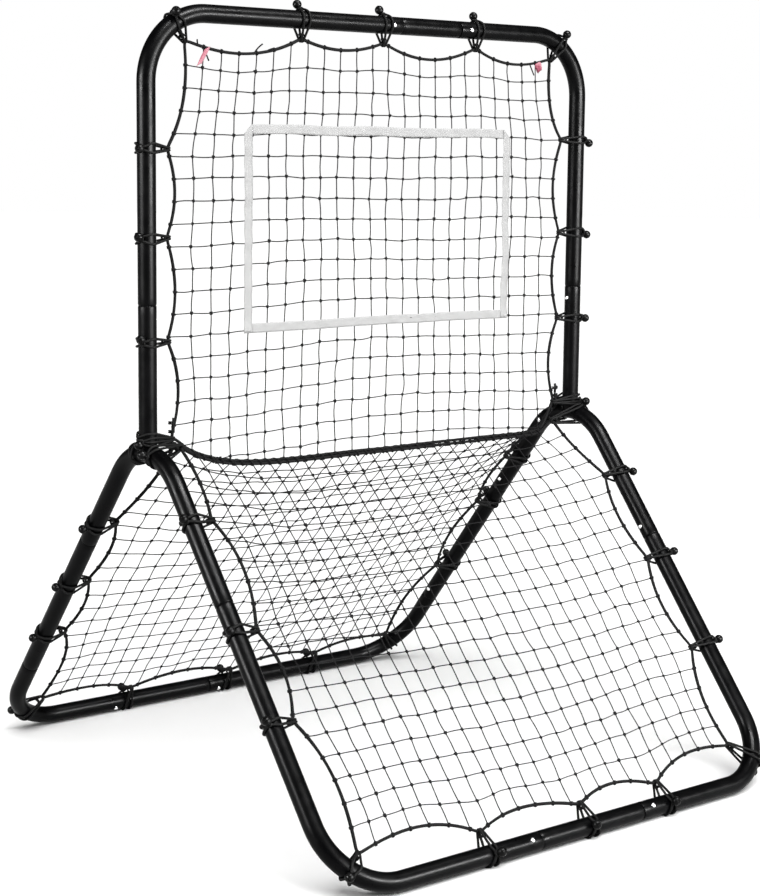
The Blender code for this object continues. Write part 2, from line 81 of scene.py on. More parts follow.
def place_in_scene(name, data):
    made = bpy.data.objects.new(name, data)
    bpy.context.scene.collection.objects.link(made)
    return made


def mesh_of(name, points, faces):
    mesh = bpy.data.meshes.new(name)
    mesh.from_pydata(np.asarray(points).tolist(), [], faces)
    return mesh


# Frame sizes that its boxes don't give
TUBE_R = 0.019
WALL = 0.0015
MALE_R = 0.0165  # of the swaged end inside the next tube
INSERT = 0.055
BUTTON_BACK = 0.027  # from a joint to its button
PLUG_HOLE = 0.0085  # where a plug's hole puts its extra rings, from the joint
BEND_R = 0.140
BUTTON_R = 0.0047
BUTTON_TOP = 0.0224

# Frame sizes that they do give
HALF_WIDTH = middle("hub_right")[0]
TOP_Z = middle("top_rail_centre_tube")[2]
_, REACH, RAIL_Z = middle("back_rail_centre_tube")
_, BUTTON_Y, BUTTON_Z = middle("snap_button_back_leg_upper_right")
APEX_Z = RAIL_Z + (BUTTON_Z - RAIL_Z) * REACH / (REACH - BUTTON_Y)
LEG_ANGLE = math.atan2(REACH, APEX_Z - RAIL_Z)  # of a leg from the vertical
LEG_LENGTH = math.hypot(REACH, APEX_Z - RAIL_Z)
BEND_CENTRE_Z = APEX_Z - BEND_R / math.sin(LEG_ANGLE)  # of the hub's bend

# Ties
TIE_REACH = 0.047  # from a tube's axis to the border cord
TOP_REACH = 0.039
CORNER_REACH = {
    (FRONT, LEFT): 0.039,
    (FRONT, RIGHT): 0.060,
    (BACK, LEFT): 0.047,
    (BACK, RIGHT): 0.047,
}
HUB_REACH = 0.055
HUB_TIE_Z = middle("ball_bungee_hub_left")[2]
TOP_CORNER_ANGLE = math.radians(31)
BOTTOM_CORNER_ANGLE = math.radians(45)
FRONT_LEG_TIES = {LEFT: (0.258, 0.505, 0.700), RIGHT: (0.272, 0.495, 0.724)}
BACK_LEG_TIES = {LEFT: (0.338, 0.531, 0.708), RIGHT: (0.272, 0.437, 0.684)}
TOP_CORNER_BALL_TURN = 45
CORNER_BALL_TURNS = {(FRONT, LEFT): -40, (FRONT, RIGHT): 40, (BACK, LEFT): -30, (BACK, RIGHT): -30}
LEG_BALL_TURNS = {(FRONT, LEFT): 38, (FRONT, RIGHT): -22, (BACK, LEFT): 8, (BACK, RIGHT): 82}
UPRIGHT_BALL_TURNS = {LEFT: 35, RIGHT: -20}
RAIL_BALL_TURNS = {FRONT: -78, BACK: 128}

# Cords and nets
CORD_R = 0.0033
ELASTIC_R = 0.0026
TWINE_R = 0.00118
BITES = 5  # pieces of a twine from knot to knot
BALL_R = 0.0096
BALL_OUT = 0.0335
LOOP_HALF = 0.0085  # between an elastic's two loops, from their middle
NECK_HALF = 0.0030  # and where they meet at the ball
SAG = 0.108  # scallop depth over span
TIGHT = 0.55  # share of it in the leg nets' spans next to the hubs
MESH = 0.0470  # of the upper net, as the tape's ripple follows it
UPPER_MESHES = (23, 20)  # across and down
LEG_MESHES = (23, 19)
SIDE_DROP = 0.030  # how far the upper net's rows would go down at its sides
WAIST_Z = RAIL_Z + 0.685  # middle of the line where the three nets meet
WAIST_LIFT = 0.068
WAIST_BEND = {LEFT: 6, RIGHT: 30}
LEG_CORD_SIDE = 0.0068
LEG_CORD_DROP = 0.0058
LEG_NET_CORNER = (0.522, 0.012, 0.008)  # across, out from the middle and down from the waist
LACING_END, LACING_PITCH = 0.490, 0.0235
RELAXING = 900  # rounds in which the nets' knots come to rest
BORDER_STEP = 0.006
CORNER_TIES = (4, 8)  # a border's ties that are at its two corners
TIGHT_SPANS = (1, 12)

# Camera, from the view that the object is shown in
CAMERA_PLACE = (-2.5720, -3.2755, 1.3537)
CAMERA_YAW, CAMERA_PITCH, CAMERA_ROLL = 0.6661, 0.1318, 0.0101
CAMERA_LENS, SENSOR = 89.795, 36.0
CAMERA_SHIFT = (0.00245, -0.05346)

# Lights: (name, place, width and height, watts)
ROOM_LIGHT = 0.08
OVERHEAD_LIGHT = 5.3
SOFTBOXES = (
    ("softbox_right", (1.4, -4.2, 1.5), (0.35, 2.6), 1200),
    ("softbox_left", (-4.6, 0.4, 1.9), (0.35, 2.2), 720),
    ("softbox_top", (0.3, -1.9, 4.6), (2.6, 0.35), 900),
)

random = np.random.default_rng(7)


# Materials


class Finish:
    """A material with a Principled shader and short ways to add nodes to it."""

    def __init__(self, name, colour, roughness, metallic=0.0, **sockets):
        self.material = bpy.data.materials.new(name)
        self.material.use_nodes = True
        self.tree = self.material.node_tree
        self.shader = self.tree.nodes["Principled BSDF"]
        sockets |= {"Base_Color": (*colour, 1), "Roughness": roughness, "Metallic": metallic}
        self.set(self.shader, **{key.replace("_", " "): value for key, value in sockets.items()})
        self.height = None

    def feed(self, socket, value):
        if isinstance(value, bpy.types.NodeSocket):
            self.tree.links.new(value, socket)
        else:
            socket.default_value = value

    def set(self, node, **values):
        for key, value in values.items():
            self.feed(node.inputs[key], value)

    def node(self, kind, **values):
        made = self.tree.nodes.new("ShaderNode" + kind)
        self.set(made, **values)
        return made

    def maths(self, operation, *values):
        made = self.tree.nodes.new("ShaderNodeMath")
        made.operation = operation
        for socket, value in zip(made.inputs, values):
            self.feed(socket, value)
        return made.outputs[0]

    def noise(self, scale, detail=2.0, stretch=(1, 1, 1)):
        place = self.node("TexCoord").outputs["Object"]
        stretched = self.node("Mapping", Vector=place, Scale=stretch).outputs["Vector"]
        return self.node("TexNoise", Vector=stretched, Scale=scale, Detail=detail).outputs["Fac"]

    def between(self, value, low, high, to=(0, 1)):
        """value, mapped from low..high to the range to and held there."""
        values = {"Value": value, "From Min": low, "From Max": high, "To Min": to[0], "To Max": to[1]}
        return self.node("MapRange", **values).outputs["Result"]

    def patches(self, scale, detail, low, high, to=(0, 1)):
        return self.between(self.noise(scale, detail), low, high, to)

    def tint(self, value, low, high):
        """The base colour, from colour low to high as value goes from 0 to 1."""
        mixed = self.tree.nodes.new("ShaderNodeMix")
        mixed.data_type = "RGBA"
        for socket, fed in ((0, value), (6, (*low, 1)), (7, (*high, 1))):
            self.feed(mixed.inputs[socket], fed)
        self.tree.links.new(mixed.outputs[2], self.shader.inputs["Base Color"])

    def bump(self, value, strength, distance):
        values = {"Height": value, "Strength": strength, "Distance": distance}
        if self.height:
            values["Normal"] = self.height
        self.height = self.node("Bump", **values).outputs["Normal"]
        self.set(self.shader, Normal=self.height)

    def round_and_along(self):
        """A tube's angle round it and its length along it, from the grain that its mesh holds."""
        grain = self.node("Attribute")
        grain.attribute_name = "grain"
        parts = self.node("SeparateXYZ", Vector=grain.outputs["Vector"]).outputs
        return self.maths("ARCTAN2", parts[1], parts[0]), parts[2]

    def lay(self, turns, pitch, sign=1):
        """A wave along strands that turn round a cord, turns strands side by side."""
        angle, along = self.round_and_along()
        travel = self.maths("MULTIPLY", along, sign * math.tau / pitch)
        phase = self.maths("MULTIPLY_ADD", angle, turns, travel)
        return self.maths("MULTIPLY_ADD", self.maths("SINE", phase), 0.5, 0.5)


def powder_coat():
    """Satin black powder coat: a fine orange peel, cloudy gloss, and a little dust."""
    made = Finish("black_powder_coat", (0.0018, 0.0018, 0.0021), 0.34, Specular_IOR_Level=0.04)
    made.set(made.shader, Roughness=made.patches(38, 4, 0.3, 0.7, (0.27, 0.40)))
    made.tint(made.patches(11, 7, 0.56, 0.80), (0.0009, 0.0009, 0.0011), (0.0030, 0.0030, 0.0034))
    made.bump(made.noise(760, 2), 0.22, 0.00022)
    made.bump(made.noise(95, 2), 0.08, 0.0006)
    return made.material


def bare_steel():
    """Zinc-plated steel with fine drawing lines and a few dull spots."""
    made = Finish("zinc_plated_steel", (0.78, 0.78, 0.79), 0.24, 1.0)
    lines = made.noise(420, 3, (1, 1, 6))
    made.set(made.shader, Roughness=made.between(lines, 0.3, 0.7, (0.18, 0.36)))
    made.tint(made.patches(160, 4, 0.4, 0.75), (0.83, 0.83, 0.84), (0.58, 0.57, 0.56))
    made.bump(lines, 0.10, 0.0001)
    return made.material


def laid_twine():
    """Two-ply polyester twine, matt, with a visible twist, and colour painted lighter on the plies' crowns
    and darker in the grooves between them: painted highlight and painted shade.
    """
    made = Finish("black_net_twine", (0.012, 0.012, 0.012), 0.85, Specular_IOR_Level=0.04)
    fibre = made.patches(1500, 2, 0.3, 0.7, (0.55, 1.0))
    # The twist wave also sets the colour: painted shade in the grooves, painted highlight on the crowns;
    # fibre is a random tone.
    crown_and_shade = made.maths("MULTIPLY", made.lay(2, 0.0052), fibre)
    made.tint(crown_and_shade, (0.004, 0.004, 0.004), (0.020, 0.020, 0.021))
    made.bump(crown_and_shade, 0.65, 0.0004)
    return made.material


def braid(name, turns, pitch, low, high, roughness, depth):
    """A braided cover: two sets of strands that cross, one over the other, with painted shade in the grooves
    between them.
    """
    made = Finish(name, low, roughness, Specular_IOR_Level=0.05)
    crossing = made.maths("MAXIMUM", made.lay(turns, pitch), made.lay(turns, pitch, -1))
    fibre = made.patches(1300, 2, 0.3, 0.7, (0.6, 1.0))
    crown_and_shade = made.maths("MULTIPLY", crossing, fibre)
    # The colour follows the crossing strands' height: painted shade in the grooves, painted highlight on the
    # crowns; fibre is a random tone.
    made.tint(made.between(crown_and_shade, 0.45, 1.0), low, high)
    made.bump(crown_and_shade, 0.7, depth)
    return made.material


def moulded_ball():
    """Moulded black plastic, semi-gloss, with scuffs."""
    made = Finish("moulded_black_plastic", (0.003, 0.003, 0.003), 0.3, Specular_IOR_Level=0.05)
    scuff = made.noise(130, 6)
    made.set(made.shader, Roughness=made.between(scuff, 0.35, 0.75, (0.20, 0.55)))
    made.tint(made.between(scuff, 0.55, 0.8), (0.003, 0.003, 0.003), (0.014, 0.014, 0.0145))
    made.bump(made.noise(900, 2), 0.12, 0.0002)
    return made.material


def woven_tape(name, low, high):
    """Plain-woven ribbon, with warp and weft that show as bumps and as painted shade between the threads,
    and a soft sheen.
    """
    made = Finish(name, low, 0.72, Sheen_Weight=0.3, Sheen_Roughness=0.4)
    place = made.node("TexCoord").outputs["Object"]
    parts = made.node("SeparateXYZ", Vector=place).outputs
    thread = math.tau / 0.0011
    warp, weft = (made.maths("SINE", made.maths("MULTIPLY", parts[i], thread)) for i in (0, 2))
    weave_and_shade = made.maths("MULTIPLY_ADD", made.maths("MULTIPLY", warp, weft), 0.5, 0.5)
    soil = made.patches(24, 5, 0.3, 0.7, (0.78, 1.0))
    # The weave sets the colour too: painted shade where the threads dip, lighter where they rise; soil is
    # random dirt.
    made.tint(made.maths("MULTIPLY", made.maths("MULTIPLY_ADD", weave_and_shade, 0.35, 0.65), soil), low, high)
    made.bump(weave_and_shade, 0.5, 0.00025)
    return made.material


POWDER_COAT = powder_coat()
STEEL = bare_steel()
TWINE = laid_twine()
BLACK = (0.002, 0.002, 0.002)
CORD_BRAID = braid("black_border_braid", 5, 0.0085, BLACK, (0.012, 0.012, 0.0125), 0.75, 0.0006)
ELASTIC_BRAID = braid("black_elastic_braid", 6, 0.0045, BLACK, (0.012, 0.012, 0.012), 0.62, 0.0003)
BALL_PLASTIC = moulded_ball()
ZONE_TAPE = woven_tape("pale_grey_tape", (0.19, 0.19, 0.19), (0.33, 0.33, 0.328))
PINK_RIBBON = woven_tape("pink_ribbon", (0.15, 0.010, 0.035), (0.38, 0.05, 0.10))


# Surfaces


def rows_to_one(vectors):
    return vectors / np.linalg.norm(vectors, axis=1)[:, None]


def steps_along(path):
    """The distance along path of each of its points."""
    return np.concatenate([[0], np.cumsum(np.linalg.norm(np.diff(path, axis=0), axis=1))])


def quads_between(low, high):
    """Faces between two grids of point numbers whose rows are closed."""
    quads = np.stack([low, np.roll(low, -1, axis=1), np.roll(high, -1, axis=1), high], axis=-1)
    return quads.reshape(-1, 4).tolist()


def carried(path, closed):
    """Tangents along path, and two normals carried along it without twist."""
    ahead = np.roll(path, -1, axis=0) - path
    if not closed:
        ahead[-1] = ahead[-2]
    behind = np.roll(ahead, 1, axis=0)
    if not closed:
        behind[0] = ahead[0]
    tangents = rows_to_one(ahead) + rows_to_one(behind)
    tangents = rows_to_one(tangents)
    normal = np.cross(tangents[0], X if abs(tangents[0][0]) < 0.8 else Y)
    normals = []
    for tangent in tangents:
        normal = unit(normal - tangent * (normal @ tangent))
        normals.append(normal)
    normals = np.array(normals)
    if closed:
        back = unit(normals[-1] - tangents[0] * (normals[-1] @ tangents[0]))
        turn = math.atan2(np.cross(normals[0], back) @ tangents[0], normals[0] @ back)
        turns = -turn * np.arange(len(path)) / len(path)
        across = np.cross(tangents, normals)
        normals = normals * np.cos(turns)[:, None] + across * np.sin(turns)[:, None]
    return tangents, normals, np.cross(tangents, normals)


class Surface:
    """Collects closed forms of one finish that become one mesh."""

    def __init__(self):
        self.points, self.grain, self.faces, self.count = [], [], [], 0

    def rings(self, rings, closed, along=None):
        """A form through rings of points, an array shaped (rings, points round it, 3)."""
        rows, sides = rings.shape[:2]
        index = np.arange(rows * sides).reshape(rows, sides) + self.count
        low, high = (index, np.roll(index, -1, axis=0)) if closed else (index[:-1], index[1:])
        self.faces += quads_between(low, high)
        if not closed:
            self.faces += [index[0][::-1].tolist(), index[-1].tolist()]
        angles = around(sides)
        along = np.zeros(rows) if along is None else along
        grain = np.stack(np.broadcast_arrays(np.cos(angles), np.sin(angles), along[:, None]), axis=-1)
        self.points.append(rings.reshape(-1, 3))
        self.grain.append(grain.reshape(-1, 3))
        self.count += rows * sides

    def tube(self, path, radius, sides=6, closed=False):
        path = np.asarray(path, float)
        _, normals, across = carried(path, closed)
        c, s = (wave(around(sides))[None, :, None] for wave in (np.cos, np.sin))
        radius = np.broadcast_to(radius, len(path))[:, None, None]
        rings = path[:, None] + (normals[:, None] * c + across[:, None] * s) * radius
        self.rings(rings, closed, steps_along(path))

    def form(self, points, faces, grain):
        """Copies of a ready-made form's points."""
        self.faces += (faces + self.count).tolist()
        self.points.append(points)
        self.grain.append(grain)
        self.count += len(points)

    def make(self, name, finish, nodes=(), body="frame", floor=False):
        points = np.concatenate(self.points)
        if floor:
            points[:, 2] = np.maximum(points[:, 2], 0)
        mesh = mesh_of(name, points, self.faces)
        grain = mesh.attributes.new("grain", "FLOAT_VECTOR", "POINT")
        grain.data.foreach_set("vector", np.concatenate(self.grain).astype(np.float32).ravel())
        mesh.shade_smooth()
        return piece(name, mesh, finish, nodes, body)


def piece(name, mesh, finish, nodes=(), body="frame"):
    """An object that rides on a body, and stands for the nodes named."""
    made = place_in_scene(name, mesh)
    mesh.materials.append(finish)
    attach(made, body)
    if nodes:
        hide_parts(*nodes)
    return made


def soften(made, degrees):
    """Smooth shading, with edges sharper than this kept."""
    made.data.shade_smooth()
    made.data.set_sharp_from_angle(angle=math.radians(degrees))


# The frame's lines


def on_leg(side, front, distance):
    """A point of a leg's straight centreline, this far from where the legs would meet."""
    across = front * distance * math.sin(LEG_ANGLE)
    return np.array([side * HALF_WIDTH, across, APEX_Z - distance * math.cos(LEG_ANGLE)])


def net_side(front):
    return np.array([0, -front * math.sin(LEG_ANGLE), math.cos(LEG_ANGLE)])


def plane_normal(front):
    """The direction square to a leg frame, outwards and up."""
    return np.array([0, front * math.cos(LEG_ANGLE), math.sin(LEG_ANGLE)])


def rail_point(front, x):
    return np.array([x, front * REACH, RAIL_Z])


def top_point(x):
    return np.array([x, 0, TOP_Z])


def upright_point(side, z):
    return np.array([side * HALF_WIDTH, 0, z])


def leg_distance(node):
    """How far down a leg a node's middle is."""
    return math.hypot(middle(node)[1], APEX_Z - middle(node)[2])


def rounded(corners, step=math.radians(3)):
    """The points of a line through corners, with an arc at each inner one."""
    path = [corners[0]]
    for before, corner, after in zip(corners, corners[1:], corners[2:]):
        back, ahead = unit(before - corner), unit(after - corner)
        turn = math.pi - math.acos(back @ ahead)
        centre = corner + unit(back + ahead) * BEND_R / math.cos(turn / 2)
        start = corner + back * BEND_R * math.tan(turn / 2) - centre
        towards = unit(corner + ahead * BEND_R * math.tan(turn / 2) - centre - start * math.cos(turn))
        count = round(turn / step)
        for i in range(count + 1):
            angle = turn * i / count
            path.append(centre + start * math.cos(angle) + towards * BEND_R * math.sin(angle))
    return np.array(path + [corners[-1]])


# Tubes


TUBE_SIDES = 44
MOUTH, PLUG = "mouth", "plug"


def end_stations(kind):
    """(distance past the joint, radius) round an end, from full radius to the bore."""
    bore, inside = TUBE_R - WALL, MALE_R - WALL
    if kind == MOUTH:
        lip = [(-0.0012, TUBE_R), (-0.0004, TUBE_R - 0.0002), (0, TUBE_R - 0.0006)]
        return lip + [(0, bore + 0.0003), (-0.0005, bore)]
    shoulder = [(-0.0042, TUBE_R), (-0.0030, TUBE_R - 0.0003), (-0.0022, TUBE_R - 0.0009)]
    shoulder += [(-0.0012, MALE_R + 0.0004), (-0.0005, MALE_R)]
    tip = [(INSERT - 0.001, MALE_R), (INSERT, MALE_R - 0.0005), (INSERT, inside), (0.001, inside)]
    return shoulder + tip + [(-0.006, bore)]


def skin(name, rings):
    """A mesh through rings of TUBE_SIDES points, the last joined to the first."""
    index = np.arange(len(rings) * TUBE_SIDES).reshape(-1, TUBE_SIDES)
    return mesh_of(name, rings.reshape(-1, 3), quads_between(index, np.roll(index, -1, axis=0)))


def tube_mesh(name, corners, first, last, holes):
    """A hollow tube along corners, with extra rings round where its button holes go."""
    path = rounded([np.asarray(corner) for corner in corners])
    lengths = steps_along(path)
    total = lengths[-1]
    plane = np.cross(path[1] - path[0], path[-1] - path[-2])
    if np.linalg.norm(plane) < 1e-6:
        plane = np.cross(path[1] - path[0], Y + 0.01 * X)
    square = unit(plane)
    clear = [s for s in lengths[1:-1] if 0.012 < s < total - 0.012]
    near_holes = [hole[0] + shift for hole in holes for shift in (-0.009, 0.009)]
    along = sorted(s for s in clear + near_holes if 0.008 < s < total - 0.008)
    out = [(-s, r) for s, r in end_stations(first)][::-1]
    back = [(total + s, r) for s, r in end_stations(last)]
    outer = [station for station in out if station[1] > TUBE_R - WALL + 1e-6 or station[0] < 0]
    stations = outer + [(s, TUBE_R) for s in along] + back + [(s, TUBE_R - WALL) for s in along[::-1]]
    rings = []
    for s, radius in stations:
        k = min(max(int(np.searchsorted(lengths, s)) - 1, 0), len(path) - 2)
        tangent = unit(path[k + 1] - path[k])
        centre = path[k] + tangent * (s - lengths[k])
        here = [i for i in range(1, len(path) - 1) if abs(lengths[i] - s) < 1e-6]
        if here:
            tangent = unit(path[here[0] + 1] - path[here[0] - 1])
        rings.append(centre + radius * turned_by(around(TUBE_SIDES), square, np.cross(tangent, square)))
    mesh = skin(name, np.array(rings))
    work = bmesh.new()
    work.from_mesh(mesh)
    bmesh.ops.recalc_face_normals(work, faces=work.faces)
    work.to_mesh(mesh)
    work.free()
    return mesh


def frame_tube(name, corners, first, last, nodes, holes=()):
    """A tube piece. holes are its buttons' (distance along, place on the axis, direction out)."""
    mesh = tube_mesh(name, corners, first, last, holes)
    made = piece(name, mesh, POWDER_COAT, nodes)
    for number, (_, place, outwards) in enumerate(holes):
        cutter_mesh = bpy.data.meshes.new(f"{name}_hole_{number}")
        work = bmesh.new()
        turn = Matrix.Translation(place) @ direction_matrix(outwards) @ Matrix.Translation((0, 0, 0.018))
        size = {"radius1": BUTTON_R + 0.0003, "radius2": BUTTON_R + 0.0003, "depth": 0.012}
        bmesh.ops.create_cone(work, cap_ends=True, segments=32, matrix=turn, **size)
        work.to_mesh(cutter_mesh)
        work.free()
        cutter = place_in_scene(f"{name}_hole_{number}", cutter_mesh)
        cut = made.modifiers.new("hole", "BOOLEAN")
        cut.operation = "DIFFERENCE"
        cut.solver = "EXACT"
        cut.object = cutter
        bpy.context.view_layer.update()
        result = made.evaluated_get(bpy.context.evaluated_depsgraph_get())
        cut_mesh = bpy.data.meshes.new_from_object(result)
        made.modifiers.clear()
        made.data = cut_mesh
        bpy.data.objects.remove(cutter)
    soften(made, 40)


def direction_matrix(outwards):
    """Turns Z to outwards."""
    z = unit(outwards)
    x = unit(np.cross(Y if abs(z[1]) < 0.8 else X, z))
    return Matrix(np.column_stack([x, np.cross(z, x), z]).tolist()).to_4x4()


JOINTS = {}  # button name: (place on the axis, outward direction)
for side, word in SIDES.items():
    upright_button = middle("snap_button_upright_" + word)[2]
    JOINTS["upright_" + word] = (upright_point(side, upright_button), -side * X)
    for front, kind in ((FRONT, "front_leg"), (BACK, "back_leg_upper"), (BACK, "back_leg_lower")):
        distance = leg_distance(f"snap_button_{kind}_{word}")
        JOINTS[f"{kind}_{word}"] = (on_leg(side, front, distance), -side * X)
    JOINTS["top_rail_" + word] = (top_point(middle("snap_button_top_rail_" + word)[0]), -Y)
    for front, where in ENDS.items():
        outwards = plane_normal(front) * (1 if front == FRONT else -1)
        x = middle(f"snap_button_{where}_rail_{word}")[0]
        JOINTS[f"{where}_rail_{word}"] = (rail_point(front, x), outwards)


def leg_seam(joint):
    """How far down a leg the joint beside this button is."""
    return leg_distance("snap_button_" + joint) + BUTTON_BACK


def plugged_tube(name, word, corners, mouth, plug):
    """A tube with a mouth at its far end, and the joints whose buttons it has at both."""
    length = steps_along(rounded(corners))[-1]
    holes = [(length - BUTTON_BACK, *JOINTS[f"{mouth}_{word}"]), (PLUG_HOLE, *JOINTS[f"{plug}_{word}"])]
    frame_tube(f"{name}_visual_{word}", corners, PLUG, MOUTH, [f"{name}_{word}"], holes)


for side, word in SIDES.items():
    front_seam = on_leg(side, FRONT, leg_seam("front_leg_" + word))
    upper_seam = on_leg(side, BACK, leg_seam("back_leg_upper_" + word))
    lower_seam = on_leg(side, BACK, leg_seam("back_leg_lower_" + word))
    top_end, front_end, back_end = (
        JOINTS[f"{rail}_rail_{word}"][0] - side * X * BUTTON_BACK for rail in ("top", "front", "back")
    )

    corners = [front_seam, upright_point(side, APEX_Z), upper_seam]
    length = steps_along(rounded(corners))[-1]
    holes = [(BUTTON_BACK, *JOINTS["front_leg_" + word])]
    holes.append((length - BUTTON_BACK, *JOINTS["back_leg_upper_" + word]))
    frame_tube("hub_bend_" + word, corners, MOUTH, MOUTH, ["hub_" + word], holes)

    start = JOINTS["upright_" + word][0] + Z * BUTTON_BACK
    corners = [start, upright_point(side, TOP_Z), top_end]
    plugged_tube("upper_corner_tube", word, corners, "top_rail", "upright")
    corners = [front_seam, on_leg(side, FRONT, LEG_LENGTH), front_end]
    plugged_tube("front_corner_tube", word, corners, "front_rail", "front_leg")
    plugged_tube("back_leg_tube", word, [upper_seam, lower_seam], "back_leg_lower", "back_leg_upper")
    corners = [lower_seam, on_leg(side, BACK, LEG_LENGTH), back_end]
    plugged_tube("back_corner_tube", word, corners, "back_rail", "back_leg_lower")

for rail in ("top", "front", "back"):
    buttons = [JOINTS[f"{rail}_rail_{word}"] for word in SIDES.values()]
    corners = [place - side * X * BUTTON_BACK for side, (place, _) in zip(SIDES, buttons)]
    length = np.linalg.norm(corners[1] - corners[0])
    holes = [(at, *button) for at, button in zip((PLUG_HOLE, length - PLUG_HOLE), buttons)]
    frame_tube(f"{rail}_rail_tube_visual", corners, PLUG, PLUG, [f"{rail}_rail_centre_tube"], holes)


def saddle(side, radius, sink):
    """Points round the hub's upright where it meets the bend, this deep in the bend's surface."""
    x, y = radius * turned_by(around(TUBE_SIDES), X, Y)[:, :2].T
    reach = BEND_R + np.sqrt(np.maximum((TUBE_R - sink) ** 2 - x**2, 0))
    return np.stack([side * HALF_WIDTH + x, y, BEND_CENTRE_Z + np.sqrt(reach**2 - y**2)], axis=1)


def hub_upright(side, word):
    """The short upright tube, coped and welded onto the hub's bend, and its weld bead."""
    button = JOINTS["upright_" + word][0]
    outer, bore = TUBE_R - 0.0001, TUBE_R - WALL - 0.0001
    heights = [APEX_Z - 0.045, button[2] - 0.009, button[2] + 0.009]
    mouth = [(button[2] + BUTTON_BACK + s, radius - 0.0001) for s, radius in end_stations(MOUTH)]
    stations = [(z, outer) for z in heights] + mouth + [(z, bore) for z in heights[::-1]]
    rings = [upright_point(side, z) + radius * turned_by(around(TUBE_SIDES), X, Y) for z, radius in stations]
    rings = np.array([saddle(side, outer, 0.001), *rings, saddle(side, bore, 0.001)])
    name = "hub_upright_" + word
    soften(piece(name, skin(name, rings), POWDER_COAT, ["hub_" + word]), 40)

    line = saddle(side, TUBE_R + 0.0006, 0.0)
    at, known = np.arange(0, TUBE_SIDES, 0.25), np.arange(TUBE_SIDES + 1)
    line = np.stack([np.interp(at, known, np.append(c, c[0])) for c in line.T], axis=1)
    ripple = 0.0004 * np.sin(np.arange(len(line)) * math.tau / 4) + random.normal(0, 0.0001, len(line))
    bead = Surface()
    bead.tube(line, 0.0024 + ripple, 8, closed=True)
    bead.make("hub_weld_" + word, POWDER_COAT)


for side, word in SIDES.items():
    hub_upright(side, word)


# Snap buttons and rivets


def turned(name, profile, place, outwards, finish, nodes, body, steps=32):
    """A solid of revolution about outwards, from the (radius, height) points of its profile."""
    made = Surface()
    turn = np.array(direction_matrix(outwards).to_3x3())
    rings = np.array([radius * turned_by(around(steps), X, Y) + Z * height for radius, height in profile])
    made.rings(rings @ turn.T + place, closed=False)
    soften(made.make(name, finish, nodes, body), 45)


def dome(radius, base, top, steps=7):
    """A rounded head's profile, from its rim almost to the axis."""
    angles = [math.radians(88) * i / (steps - 1) for i in range(steps)]
    return [(radius * math.cos(a), base + (top - base) * math.sin(a)) for a in angles]


for joint, (place, outwards) in JOINTS.items():
    node = "snap_button_" + joint
    foot = [(0.0058, 0.0112), (0.0062, 0.0115), (0.0062, 0.0124), (0.0060, 0.0126), (BUTTON_R, 0.0126)]
    profile = foot + dome(BUTTON_R, BUTTON_TOP - 0.0024, BUTTON_TOP)
    turned("steel_button_" + joint, profile, place, outwards, STEEL, [node], node)

for side, word in SIDES.items():
    head = middle("hub_rivet_" + word)
    towards = unit(np.array([0, head[1], head[2] - BEND_CENTRE_Z]))
    place = upright_point(side, BEND_CENTRE_Z) + towards * BEND_R
    inner_head = [(0.0044, 0.0148), (0.0046, 0.0150), (0.0046, 0.0158)]
    profile = inner_head + [(0.0032, 0.0158), (0.0032, 0.0190), (0.0055, 0.0190)]
    profile += dome(0.0057, 0.0194, 0.0221)
    turned("steel_rivet_" + word, profile, place, -side * X, STEEL, ["hub_rivet_" + word], "frame")


# Ball bungees


def ball_form(rows=14, sides=22):
    """A ball with a cord hole at its outer pole, as rings about Z, round its own middle."""
    profile = [(0.0006, 0.55), (0.20, 0.55), (0.24, 0.70), (0.27, 0.86)]
    start = math.radians(72)
    for i in range(rows):
        latitude = start - (start + math.radians(86)) * i / (rows - 1)
        profile.append((math.cos(latitude), math.sin(latitude)))
    profile.append((0.0006, -0.998))
    profile = np.array(profile) * BALL_R
    return np.array([radius * turned_by(around(sides), X, -Y) + Z * height for radius, height in profile])


BALL_FORM = ball_form()


def smooth_step(t):
    t = np.clip(t, 0, 1)
    return t * t * (3 - 2 * t)


